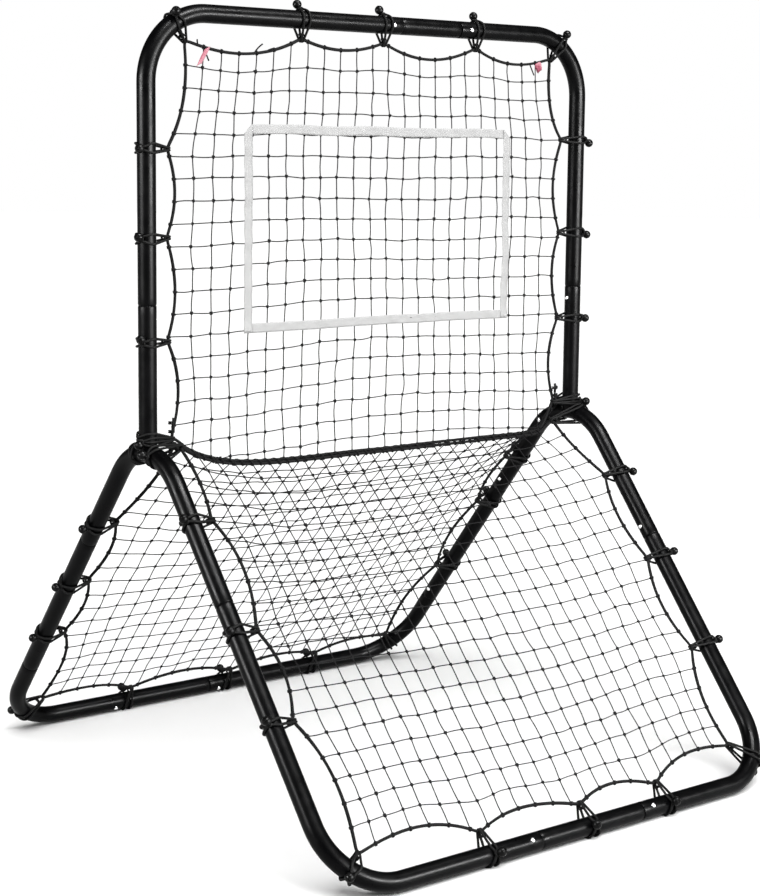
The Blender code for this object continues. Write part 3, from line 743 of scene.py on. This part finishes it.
def bungee(
    name, place, along, towards, turn, reach=TIE_REACH, nodes=(), floor=False, skew=0.0, ball=True
):
    """Two loops of one elastic, side by side round a tube and the border cord, and their ball.

    The ball is turned by turn degrees from the far side of the tube about along.
    """
    along, towards = unit(along), unit(towards)
    square = np.cross(along, towards)
    loop_r = TUBE_R + ELASTIC_R + 0.0001
    eye_r = CORD_R + ELASTIC_R
    spread = math.acos((loop_r - eye_r) / reach)
    ball_angle = math.pi + math.radians(turn + random.normal(0, 3))
    cord = place + towards * reach + along * skew

    def direction(angle):
        return towards * math.cos(angle) + square * math.sin(angle)

    elastic = Surface()
    for strand in (-1, 1):
        wide = LOOP_HALF + random.normal(0, 0.0009)
        lean = random.normal(0, 0.0012)
        path = []
        for angle in np.linspace(spread, math.tau - spread, 34):
            near_ball = abs(angle - ball_angle) / 1.1
            shift = strand * (NECK_HALF + (wide - NECK_HALF) * float(smooth_step(near_ball))) + lean
            lift = 0.0030 * math.exp(-(((angle - ball_angle) / 0.25) ** 2))
            path.append(place + direction(angle) * (loop_r + lift) + along * shift)
        out, back = path[-1], path[0]
        eye_centre = cord + along * strand * 0.0023
        eye = [eye_centre + direction(a) * eye_r for a in np.linspace(-spread, spread, 9)]
        path += [out + (eye[0] - out) * t for t in (0.25, 0.5, 0.75)]
        path += eye
        path += [eye[-1] + (back - eye[-1]) * t for t in (0.25, 0.5, 0.75)]
        elastic.tube(path, ELASTIC_R, 8, closed=True)

    outwards = direction(ball_angle)
    tilt = unit(outwards + along * random.normal(0, 0.12))
    if ball:
        ball_neck(elastic, place, along, outwards, tilt, loop_r)
    turns = np.linspace(0, 2.2 * math.tau, 34)
    lift = (turns / turns[-1] - 0.5)[:, None] * 0.0030 - 0.0085
    coil = cord + turned_by(turns, along * 0.0047, square * 0.0052) + lift * towards
    elastic.tube(coil, ELASTIC_R * 0.75, 6)
    elastic.make(name + "_elastic", ELASTIC_BRAID, nodes, floor=floor)

    if ball:
        ball_on(name, place, tilt, floor)


def node_bungee(node, *where, **how):
    """The bungee that stands for a node."""
    bungee(node + "_looks", *where, nodes=[node], **how)


def ball_neck(elastic, place, along, outwards, tilt, loop_r):
    """The elastic that holds a ball off its tube, with a turn round it."""
    for strand in (-1, 1):
        foot = place + outwards * (loop_r - 0.0005) + along * strand * NECK_HALF
        tip = place + tilt * (BALL_OUT + 0.2 * BALL_R)
        bow = place + outwards * (loop_r + 0.005) + along * strand * 0.0026
        elastic.tube([foot, bow, tip], ELASTIC_R * 0.95, 8)
    ring = turned_by(around(18), along * 0.0055, np.cross(outwards, along) * 0.0043)
    elastic.tube(place + outwards * (loop_r + 0.0032) + ring, ELASTIC_R * 0.9, 8, closed=True)


def ball_on(name, place, tilt, floor):
    """A ball with the elastic's knotted end in its hole."""
    ball = Surface()
    turn_matrix = np.array(direction_matrix(tilt).to_3x3())
    ball.rings(BALL_FORM[::-1] @ turn_matrix.T + place + tilt * BALL_OUT, closed=False)
    soften(ball.make(name + "_ball", BALL_PLASTIC, floor=floor), 50)
    knot = place + tilt * (BALL_OUT + 0.80 * BALL_R)
    stub = Surface()
    stub.tube([knot - tilt * 0.003, knot, knot + tilt * 0.0022], [0.0016, 0.0020, 0.0012], 8)
    stub.make(name + "_end", ELASTIC_BRAID, floor=floor)


def bend_point(side, angle):
    """On a corner's bend in its own plane: across, and back from the rail's centreline."""
    return side * (HALF_WIDTH - BEND_R * (1 - math.sin(angle))), BEND_R * (1 - math.cos(angle))


def top_corner(side):
    """An upper corner's tie: its place on the bend, and the direction towards the net."""
    across, down = bend_point(side, TOP_CORNER_ANGLE)
    towards = np.array([-side * math.sin(TOP_CORNER_ANGLE), 0, -math.cos(TOP_CORNER_ANGLE)])
    return np.array([across, 0, TOP_Z - down]), towards


def bottom_corner(side, front):
    across, back = bend_point(side, BOTTOM_CORNER_ANGLE)
    towards = net_side(front) * math.cos(BOTTOM_CORNER_ANGLE) - side * X * math.sin(BOTTOM_CORNER_ANGLE)
    return rail_point(front, across) + net_side(front) * back, towards


def waist(x, y, drop):
    """A point of the line where the three nets meet."""
    bend = np.where(np.asarray(x) > 0, WAIST_BEND[RIGHT], WAIST_BEND[LEFT])
    lift = WAIST_LIFT * (np.abs(x) / (HALF_WIDTH - HUB_REACH)) ** bend
    return np.stack(np.broadcast_arrays(x, y, WAIST_Z + lift - drop), axis=-1).astype(float)


def hub_strap(side, front, word, where):
    """An elastic round the hub's bend that holds a leg net's upper corner."""
    angle = math.radians(14)
    radial = np.array([0, front * math.sin(angle), math.cos(angle)])
    along = np.array([0, front * math.cos(angle), -math.sin(angle)])
    place = upright_point(side, BEND_CENTRE_Z) + radial * BEND_R
    x, y, drop = LEG_NET_CORNER
    gap = waist(side * x, front * y, drop) - place
    skew = gap @ along
    across = gap - along * skew
    reach = np.linalg.norm(across)
    name = f"hub_elastic_{where}_{word}"
    turn = 52 if side == RIGHT else -18
    bungee(name, place, along, across, turn, reach, skew=skew, ball=front == FRONT)


def knot_tail(side, word):
    """The end of a hub's elastic, tied up along the border cord."""
    knot = upright_point(side, HUB_TIE_Z) - side * X * (HUB_REACH - 0.002)
    t = np.linspace(0, 1, 12)[:, None]
    path = knot - Z * 0.008 + (Z * 0.052 - side * X * 0.004) * t
    path = path - Y * (0.0052 + 0.001 * np.sin(9 * t))
    made = Surface()
    lumps = ELASTIC_R * (1.05 + 0.22 * np.sin(np.arange(12) * 1.9))
    made.tube(path, lumps, 8)
    turns = np.linspace(0, 2 * math.tau, 22)
    ring = turned_by(turns, X * 0.0052, Y * 0.0072) + turns[:, None] * Z * 0.0035 / math.tau
    for height in (0.012, 0.030):
        made.tube(knot + Z * height - side * X * 0.001 - Y * 0.0026 + ring, TWINE_R * 1.4, 6)
    made.make("hub_elastic_tail_" + word, ELASTIC_BRAID)


def three_ties(run, axis):
    """Where along an axis a run's three bungees are."""
    return [middle(f"ball_bungee_{run}_{number}")[axis] for number in (1, 2, 3)]


UPRIGHT_TIES = {side: three_ties("upright_" + word, 2) for side, word in SIDES.items()}
TOP_TIES = three_ties("top", 0)
RAIL_TIES = {front: three_ties(where + "_rail", 0) for front, where in ENDS.items()}
LEG_TIES = {FRONT: FRONT_LEG_TIES, BACK: BACK_LEG_TIES}

for side, word in SIDES.items():
    place, towards = top_corner(side)
    node, along = "ball_bungee_top_corner_" + word, np.cross(towards, Y)
    node_bungee(node, place, along, towards, TOP_CORNER_BALL_TURN, TOP_REACH)
    for number, z in enumerate(UPRIGHT_TIES[side], 1):
        node, turn = f"ball_bungee_upright_{word}_{number}", UPRIGHT_BALL_TURNS[side]
        node_bungee(node, upright_point(side, z), Z, -side * X, turn)
    node, place = "ball_bungee_hub_" + word, upright_point(side, HUB_TIE_Z)
    node_bungee(node, place, Z, -side * X, side * -25, HUB_REACH)
    above_hub = upright_point(side, HUB_TIE_Z + 0.006)
    bungee("hub_elastic_upper_" + word, above_hub, Z, -side * X, 0, HUB_REACH, skew=-0.006, ball=False)
    knot_tail(side, word)
    hub_strap(side, FRONT, word, "front")
    hub_strap(side, BACK, word, "back")
    for front, where in ENDS.items():
        place, towards = bottom_corner(side, front)
        node = f"ball_bungee_{where}_corner_{word}"
        along, turn = np.cross(towards, plane_normal(front)), CORNER_BALL_TURNS[front, side]
        node_bungee(node, place, along, towards, turn, CORNER_REACH[front, side])
        for number, distance in enumerate(LEG_TIES[front][side], 1):
            turn = LEG_BALL_TURNS[front, side]
            name = f"ball_bungee_{where}_leg_{word}_{number}"
            bungee(name, on_leg(side, front, distance), net_side(front), -side * X, turn)
for number, x in enumerate(TOP_TIES, 1):
    node_bungee(f"ball_bungee_top_{number}", top_point(x), X, -Z, -15, TOP_REACH)
for front, where in ENDS.items():
    for number, x in enumerate(RAIL_TIES[front], 1):
        node, turn = f"ball_bungee_{where}_rail_{number}", RAIL_BALL_TURNS[front]
        node_bungee(node, rail_point(front, x), X, net_side(front), turn, floor=True)


# Border cords


def upper_ties():
    """(the cord's place, towards the net) of each tie, from hub to hub over the top."""
    runs = {}
    for side in SIDES:
        inward = -side * X
        place, towards = top_corner(side)
        eyes = [upright_point(side, HUB_TIE_Z) + inward * HUB_REACH]
        eyes += [upright_point(side, z) + inward * TIE_REACH for z in UPRIGHT_TIES[side][::-1]]
        runs[side] = [(eye, inward) for eye in eyes] + [(place + towards * TOP_REACH, towards)]
    far = [(top_point(x) - Z * TOP_REACH, -Z) for x in TOP_TIES]
    return runs[LEFT] + far + runs[RIGHT][::-1]


def leg_ties(front):
    """The same from one end of the waist to the other, round a leg frame."""
    runs, up = {}, net_side(front)
    x, y, drop = LEG_NET_CORNER
    for side in SIDES:
        inward = -side * X
        place, towards = bottom_corner(side, front)
        eyes = [waist(side * x, front * y, drop)]
        eyes += [on_leg(side, front, d) + inward * TIE_REACH for d in LEG_TIES[front][side]]
        corner = place + towards * CORNER_REACH[front, side]
        runs[side] = [(eye, inward) for eye in eyes] + [(corner, towards)]
    far = [(rail_point(front, at) + up * TIE_REACH, up) for at in RAIL_TIES[front]]
    return runs[LEFT] + far + runs[RIGHT][::-1]


def border(ties, y, drop, tight=()):
    """A closed border line, and its four sides: each starts at the waist or at the left."""
    line, marks = [], []
    for (start, inward), (end, inward_after) in zip(ties, ties[1:]):
        marks.append(len(line))
        span = np.linalg.norm(end - start)
        t = np.linspace(0, 1, round(span / BORDER_STEP) + 1)[:-1, None]
        sag = SAG * (TIGHT if len(marks) in tight else 1)
        depth = sag * span * (1 + random.normal(0, 0.06))
        skew = t + random.normal(0, 0.06) * t * (1 - t)
        scallop = unit(inward + inward_after) * depth * 4 * skew * (1 - skew)
        line += list(start + (end - start) * t + scallop)
    marks.append(len(line))
    end_x = ties[-1][0][0]
    t = np.linspace(0, 1, round(2 * end_x / BORDER_STEP) + 1)[:-1]
    near = waist(end_x * (1 - 2 * t), y, drop)
    blend = np.minimum(1, np.minimum(t, 1 - t) / 0.03)[:, None]
    corner = np.where((t < 0.5)[:, None], ties[-1][0], ties[0][0])
    near[:, 1:] = near[:, 1:] * blend + corner[:, 1:] * (1 - blend)
    line = np.array(line + list(near))
    line = line + wander(len(line), 3, 0.0009, 12)
    for _ in range(3):
        line = (np.roll(line, 1, axis=0) + 2 * line + np.roll(line, -1, axis=0)) / 4
    first, second, last = (marks[tie] for tie in (*CORNER_TIES, -1))
    sides = {
        "left": line[: first + 1],
        "far": line[first : second + 1],
        "right": line[second : last + 1][::-1],
        "near": np.vstack([line[last:], line[:1]])[::-1],
    }
    return line, sides


def wander(count, width, size, smooth):
    """A smooth random walk round zero, count by width, of about this size."""
    raw = random.normal(0, 1, (count, width))
    kernel = np.exp(-0.5 * (np.arange(-3 * smooth, 3 * smooth + 1) / smooth) ** 2)
    if count > 3 * smooth:
        padded = np.vstack([raw[-3 * smooth :], raw, raw[: 3 * smooth]])
    else:
        padded = np.tile(raw, (9, 1))
    made = np.stack([np.convolve(column, kernel, "same") for column in padded.T], axis=1)
    start = (len(padded) - count) // 2
    made = made[start : start + count]
    return size * made / max(made.std(), 1e-9)


# Nets


def spaced(side, direction, count):
    """Points of a side that are evenly spaced along direction, its ends among them."""
    travel = np.maximum.accumulate(side @ direction * np.sign((side[-1] - side[0]) @ direction))
    travel = travel + np.arange(len(travel)) * 1e-9
    wanted = np.linspace(travel[0], travel[-1], count)
    return np.stack([np.interp(wanted, travel, column) for column in side.T], axis=1)


def lattice(sides, columns, rows, up):
    """Where the knots come to rest between the borders, each pulled alike by its four twines."""
    near, far = spaced(sides["near"], X, columns + 1), spaced(sides["far"], X, columns + 1)
    left, right = spaced(sides["left"], up, rows + 1), spaced(sides["right"], up, rows + 1)
    v = np.linspace(0, 1, rows + 1)[:, None, None]
    knots = near[None] * (1 - v) + far[None] * v
    knots[:, 0], knots[:, -1] = left, right
    for _ in range(RELAXING):
        pull = knots[:-2, 1:-1] + knots[2:, 1:-1] + knots[1:-1, :-2] + knots[1:-1, 2:]
        knots[1:-1, 1:-1] = pull / 4
    return knots


def knot_form():
    """A netting knot's two crossed loops: points, faces and grain round the origin, in the XY plane."""
    made = Surface()
    for turn, lift in ((45, 0.0006), (-45, -0.0006)):
        angles = np.linspace(0, math.tau, 10)[:-1]
        long, short = 0.0031 * np.cos(angles), 0.0015 * np.sin(angles)
        c, s = math.cos(math.radians(turn)), math.sin(math.radians(turn))
        rise = lift + 0.0005 * np.sin(2 * angles)
        loop = np.stack([long * c - short * s, long * s + short * c, rise], axis=1)
        made.tube(loop, TWINE_R * 1.1, 5, closed=True)
    return np.concatenate(made.points), np.array(made.faces), np.concatenate(made.grain)


KNOT_POINTS, KNOT_FACES, KNOT_GRAIN = knot_form()


def above(line, floor):
    """The part of a twine that is above floor, and the points where it meets it."""
    over = line[:, 2] - floor(line[:, 0])
    inside = np.flatnonzero(over > 0)
    if len(inside) < 2:
        return line[:0], []
    first, last = inside[0], inside[-1]
    path, met = list(line[first : last + 1]), []
    if first > 0:
        share = over[first] / (over[first] - over[first - 1])
        met.append(line[first] + (line[first - 1] - line[first]) * share)
        path.insert(0, met[-1])
    if last < len(line) - 1:
        share = over[last] / (over[last] - over[last + 1])
        met.append(line[last] + (line[last + 1] - line[last]) * share)
        path.append(met[-1])
    return np.array(path), met


def net(name, sides, far_direction, meshes, nodes, floor=None):
    """A knotted net between the sides of its border: twines, knots and the hitches on the cord."""
    columns, rows = meshes
    knots = lattice(sides, columns, rows, far_direction)
    shape = knots[1:-1, 1:-1].shape
    knots[1:-1, 1:-1] += random.normal(0, 0.0010, shape) * [1, 0.6, 1]
    knots[1:-1, 1:-1] += rumple(shape)
    floor = floor or (lambda x: -np.ones_like(x))
    twine = Surface()
    met = []

    def strand(line):
        line, ends = above(line, floor)
        met.extend(ends)
        path = []
        for start, end in zip(line, line[1:]):
            t = np.linspace(0, 1, BITES)[:-1, None]
            bow = random.normal(0, 0.0008, 3)
            path += list(start + (end - start) * t + bow * np.sin(math.pi * t))
        if path:
            twine.tube(path + [line[-1]], TWINE_R, 6)

    for row in knots[1:-1]:
        strand(row)
    for column in np.swapaxes(knots, 0, 1)[1:-1]:
        strand(column)
    across = unit(knots[rows // 2, -1] - knots[rows // 2, 0])
    normal = unit(np.cross(across, knots[-1, columns // 2] - knots[0, columns // 2]))
    basis = np.stack([across, np.cross(normal, across), normal])
    for knot in knots[1:-1, 1:-1].reshape(-1, 3):
        turn = random.normal(0, 0.35)
        c, s = math.cos(turn), math.sin(turn)
        spin = np.array([[c, s, 0], [-s, c, 0], [0, 0, 1]]) * (1 + random.normal(0, 0.08))
        if knot[2] > floor(knot[0]) + 0.004:
            twine.form(KNOT_POINTS @ spin @ basis + knot, KNOT_FACES, KNOT_GRAIN)
    rims = [(knots[1:-1, 0], sides["left"]), (knots[1:-1, -1], sides["right"])]
    rims += [(knots[0, 1:-1], sides["near"]), (knots[-1, 1:-1], sides["far"])]
    for points, side in rims:
        for point in points:
            nearest = int(np.argmin(np.linalg.norm(side - point, axis=1)))
            k = min(max(nearest, 1), len(side) - 2)
            if point[2] > floor(point[0]):
                hitch(twine, point, side[k + 1] - side[k - 1])
    for point in met:
        hitch(twine, point, X)
    return twine.make(name, TWINE, nodes)


def rumple(shape):
    """Soft waves that run through a net's rows, as it is never pulled quite evenly."""
    rows, columns = np.mgrid[0 : shape[0], 0 : shape[1]]
    moved = np.zeros(shape)
    for _ in range(5):
        pace = random.uniform(0.15, 0.55, 2)
        start = random.uniform(0, math.tau)
        wave = np.sin(rows * pace[0] + columns * pace[1] + start)
        moved += wave[..., None] * random.normal(0, 0.0011, 3)
    edge = np.minimum.reduce([rows, shape[0] - 1 - rows, columns, shape[1] - 1 - columns])
    return moved * np.minimum(1, (edge + 1) / 3)[..., None]


def hitch(surface, place, along):
    """Two turns of twine round the border cord."""
    along = unit(along)
    one = unit(np.cross(along, Y + 0.3 * X))
    two = np.cross(along, one)
    angles = np.linspace(0, 2 * math.tau, 19)
    radius = CORD_R + TWINE_R * 0.7
    offset = (angles / angles[-1] - 0.5)[:, None] * 0.0042
    surface.tube(place + radius * turned_by(angles, one, two) + offset * along, TWINE_R, 5)


def hung(sides):
    """The upper net's sides, with its near side below the waist, where its rows would end uncut."""
    low = WAIST_Z - 0.011
    x = np.linspace(sides["left"][0][0], sides["right"][0][0], 120)
    near = np.stack([x, 0 * x, low - SIDE_DROP * (x / x[-1]) ** 2], axis=1)
    left = np.vstack([near[:1], sides["left"]])
    right = np.vstack([near[-1:], sides["right"]])
    return {"left": left, "right": right, "far": sides["far"], "near": near}


def whole_border(name, line, nodes):
    cord = Surface()
    cord.tube(line, CORD_R * (1 + wander(len(line), 1, 0.05, 4)[:, 0]), 10, closed=True)
    return cord.make(name, CORD_BRAID, nodes)


upper_line, upper_sides = border(upper_ties(), 0, 0)
whole_border("upper_border_cord_braid", upper_line, ["upper_border_cord"])
net("upper_net_twine", hung(upper_sides), Z, UPPER_MESHES, ["upper_net"], lambda x: waist(x, 0, 0)[..., 2])
for front, where in ENDS.items():
    line, sides = border(leg_ties(front), front * LEG_CORD_SIDE, LEG_CORD_DROP, TIGHT_SPANS)
    whole_border(where + "_border_cord_braid", line, [where + "_border_cord"])
    net(where + "_net_twine", sides, -net_side(front), LEG_MESHES, [where + "_net"])


def lacing():
    """Twine that binds the three border cords along the line where the nets meet."""
    count = round(2 * LACING_END / LACING_PITCH * 12)
    x = np.linspace(-LACING_END, LACING_END, count)
    phase = x / LACING_PITCH * math.tau + wander(count, 1, 0.5, 20)[:, 0]
    centre = waist(x, 0, LEG_CORD_DROP * 0.62)
    centre[:, 1] += 0.0110 * np.cos(phase)
    centre[:, 2] += 0.0066 * np.sin(phase)
    made = Surface()
    made.tube(centre, TWINE_R * 1.25, 6)
    return made.make("waist_lacing", TWINE)


lacing()


# Strike zone, ribbon tags and loose ends


TAPE_LOW, TAPE_HIGH = (np.array(corner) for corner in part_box("strike_zone_tape"))
TAPE_WIDTH = 0.020
TAPE_Y = -0.0046


def woven_band(name, rows, finish, nodes, thickness, offset):
    """A thin woven piece through rows of points."""
    rows = np.array(rows)
    index = np.arange(rows.shape[0] * rows.shape[1]).reshape(rows.shape[:2])
    quads = np.stack([index[:-1, :-1], index[:-1, 1:], index[1:, 1:], index[1:, :-1]], axis=-1)
    mesh = mesh_of(name, rows.reshape(-1, 3), quads.reshape(-1, 4).tolist())
    mesh.shade_smooth()
    made = piece(name, mesh, finish, nodes)
    thick = made.modifiers.new("thickness", "SOLIDIFY")
    thick.thickness, thick.offset = thickness, offset
    return made


def tape_band(name, start, end, half, cuts, lift):
    """A flat woven band from start to end, rippled over the net, with its ends cut aslant by cuts."""
    length = np.linalg.norm(end - start)
    along, across = unit(end - start), unit(np.cross(unit(end - start), Y))
    count, wide = round(length / 0.005), 6
    slack = wander(count + 1, 1, 0.0011, 5)[:, 0]
    edge_wave = wander(count + 1, 1, 0.0007, 7)[:, 0]
    rows = []
    for i in range(count + 1):
        row = []
        for share in np.arange(wide + 1) * 2 / wide - 1:
            first, last = cuts[0] * (share + 1) / 2, cuts[1] * (share + 1) / 2
            s = first + (length - first - last) * i / count
            ripple = 0.0009 * math.sin(s / MESH * math.tau + 1.3) * (0.4 + 0.6 * abs(share))
            raised = lift + slack[i] * 0.5 + ripple
            row.append(start + along * s + across * (share * half + edge_wave[i]) - Y * raised)
        rows.append(row)
    made = woven_band(name, rows, ZONE_TAPE, ["strike_zone_tape"], 0.0006, 0)


def strike_zone():
    half = TAPE_WIDTH / 2
    left, right = TAPE_LOW[0] + half, TAPE_HIGH[0] - half
    low, high = TAPE_LOW[2] + half, TAPE_HIGH[2] - half
    cut = TAPE_WIDTH
    for where, start, end, cuts, lift in (
        ("top", (left - half, high), (right + half, high), (cut, cut), 0.0),
        ("bottom", (left - half, low), (right + half, low), (0, 0), 0.0),
        ("left", (left, low - half), (left, high + half), (0, cut), 0.0012),
        ("right", (right, high + half), (right, low - half), (cut, 0), 0.0012),
    ):
        start, end = (np.array([x, TAPE_Y, z]) for x, z in (start, end))
        tape_band("strike_zone_tape_" + where, start, end, half, cuts, lift)


strike_zone()


def ribbon(name, top, width, length, lean, twist):
    """A narrow ribbon that hangs from the border cord, with a half twist and a notched end."""
    steps, wide = 18, 3
    rows = []
    for i in range(steps + 1):
        t = i / steps
        turn = 0.9 * t * twist + 0.25 * math.sin(5 * t)
        centre = top + np.array([lean * t, -0.006 - 0.005 * t, -length * t * 0.86])
        across = np.array([math.cos(turn), -math.sin(turn), 0.45])
        shares = np.arange(wide + 1)[:, None] * 2 / wide - 1
        notch = Z * (0.004 * (1 - np.abs(shares))) * (i == steps)
        rows.append(centre + across * shares * width / 2 + notch)
    made = woven_band(name, rows, PINK_RIBBON, (), 0.0004, -1)


def cord_at(x):
    """The upper border cord's point over x, on its top edge."""
    far = upper_sides["far"]
    return far[int(np.argmin(np.abs(far[:, 0] - x)))]


ribbon("ribbon_tag_left", cord_at(-0.450), 0.013, 0.042, -0.024, 0.3)
ribbon("ribbon_tag_right", cord_at(0.455), 0.015, 0.024, 0.004, 2.2)


def loose_end(surface, place, lean, length):
    """A stiff cut end of twine that stands off the cord."""
    t = np.linspace(0, 1, 8)[:, None]
    path = place + np.array(lean) * length * t + np.array([0, -0.004, -0.006]) * t**2
    surface.tube(path, TWINE_R * 1.3, 6)


ends = Surface()
for x, lean, length in (
    (-0.470, (-0.4, -0.3, 0.8), 0.020),
    (-0.330, (0.5, -0.2, 0.85), 0.030),
    (-0.305, (0.7, -0.3, 0.6), 0.022),
    (-0.455, (0.3, -0.2, -0.9), 0.024),
    (0.440, (0.2, -0.3, -0.9), 0.022),
):
    loose_end(ends, cord_at(x), lean, length)
ends.make("twine_loose_ends", TWINE)


# Stage


def studio():
    """A pale floor, soft light from both sides and above, and the camera."""
    bpy.context.scene.view_settings.view_transform = "Standard"
    floor_mesh = bpy.data.meshes.new("studio_floor")
    work = bmesh.new()
    bmesh.ops.create_circle(work, cap_ends=True, segments=96, radius=40.0)
    work.to_mesh(floor_mesh)
    work.free()
    floor = place_in_scene("studio_floor", floor_mesh)
    paint = Finish("pale_floor", (0.90, 0.90, 0.895), 0.7)
    paint.tint(paint.noise(0.8, 3), (0.89, 0.89, 0.885), (0.91, 0.91, 0.905))
    floor_mesh.materials.append(paint.material)

    # The room is white to look at and dim to light with, so that black tubes stay black.
    world = bpy.data.worlds.new("studio_world")
    world.use_nodes = True
    tree = world.node_tree
    room = tree.nodes["Background"]
    room.inputs["Color"].default_value = (1, 1, 1, 1)
    seen = tree.nodes.new("ShaderNodeLightPath").outputs["Is Camera Ray"]
    level = tree.nodes.new("ShaderNodeMapRange")
    level.inputs["To Min"].default_value = ROOM_LIGHT
    level.inputs["To Max"].default_value = 1.0
    tree.links.new(seen, level.inputs["Value"])
    tree.links.new(level.outputs["Result"], room.inputs["Strength"])
    bpy.context.scene.world = world

    sky = bpy.data.lights.new("soft_overhead", "SUN")
    sky.energy = OVERHEAD_LIGHT
    sky.angle = math.radians(50)
    overhead = place_in_scene("soft_overhead", sky)
    overhead.visible_glossy = False
    overhead.matrix_world = direction_matrix(np.array([-0.35, -0.62, 0.90]))

    for name, place, size, power in SOFTBOXES:
        light = bpy.data.lights.new(name, "AREA")
        light.shape = "RECTANGLE"
        light.size, light.size_y = size
        light.energy = power
        lamp = place_in_scene(name, light)
        lamp.visible_diffuse = False
        aim = unit(np.array([0, 0, 0.8]) - np.array(place))
        lamp.matrix_world = Matrix.Translation(place) @ direction_matrix(-aim)

    camera = bpy.data.cameras.new("camera")
    camera.sensor_fit = "HORIZONTAL"
    camera.sensor_width = SENSOR
    camera.lens = CAMERA_LENS
    camera.shift_x, camera.shift_y = CAMERA_SHIFT
    view = place_in_scene("camera", camera)
    pitch, yaw, roll = CAMERA_PITCH, CAMERA_YAW, CAMERA_ROLL
    ahead = np.array([math.sin(yaw) * math.cos(pitch), math.cos(yaw) * math.cos(pitch), -math.sin(pitch)])
    right = np.array([math.cos(yaw), -math.sin(yaw), 0])
    up = np.cross(right, ahead)
    turned_right = right * math.cos(roll) + up * math.sin(roll)
    turned_up = up * math.cos(roll) - right * math.sin(roll)
    axes = Matrix(np.column_stack([turned_right, turned_up, -ahead]).tolist()).to_4x4()
    view.matrix_world = Matrix.Translation(CAMERA_PLACE) @ axes
    bpy.context.scene.camera = view


studio()

bpy.context.view_layer.update()
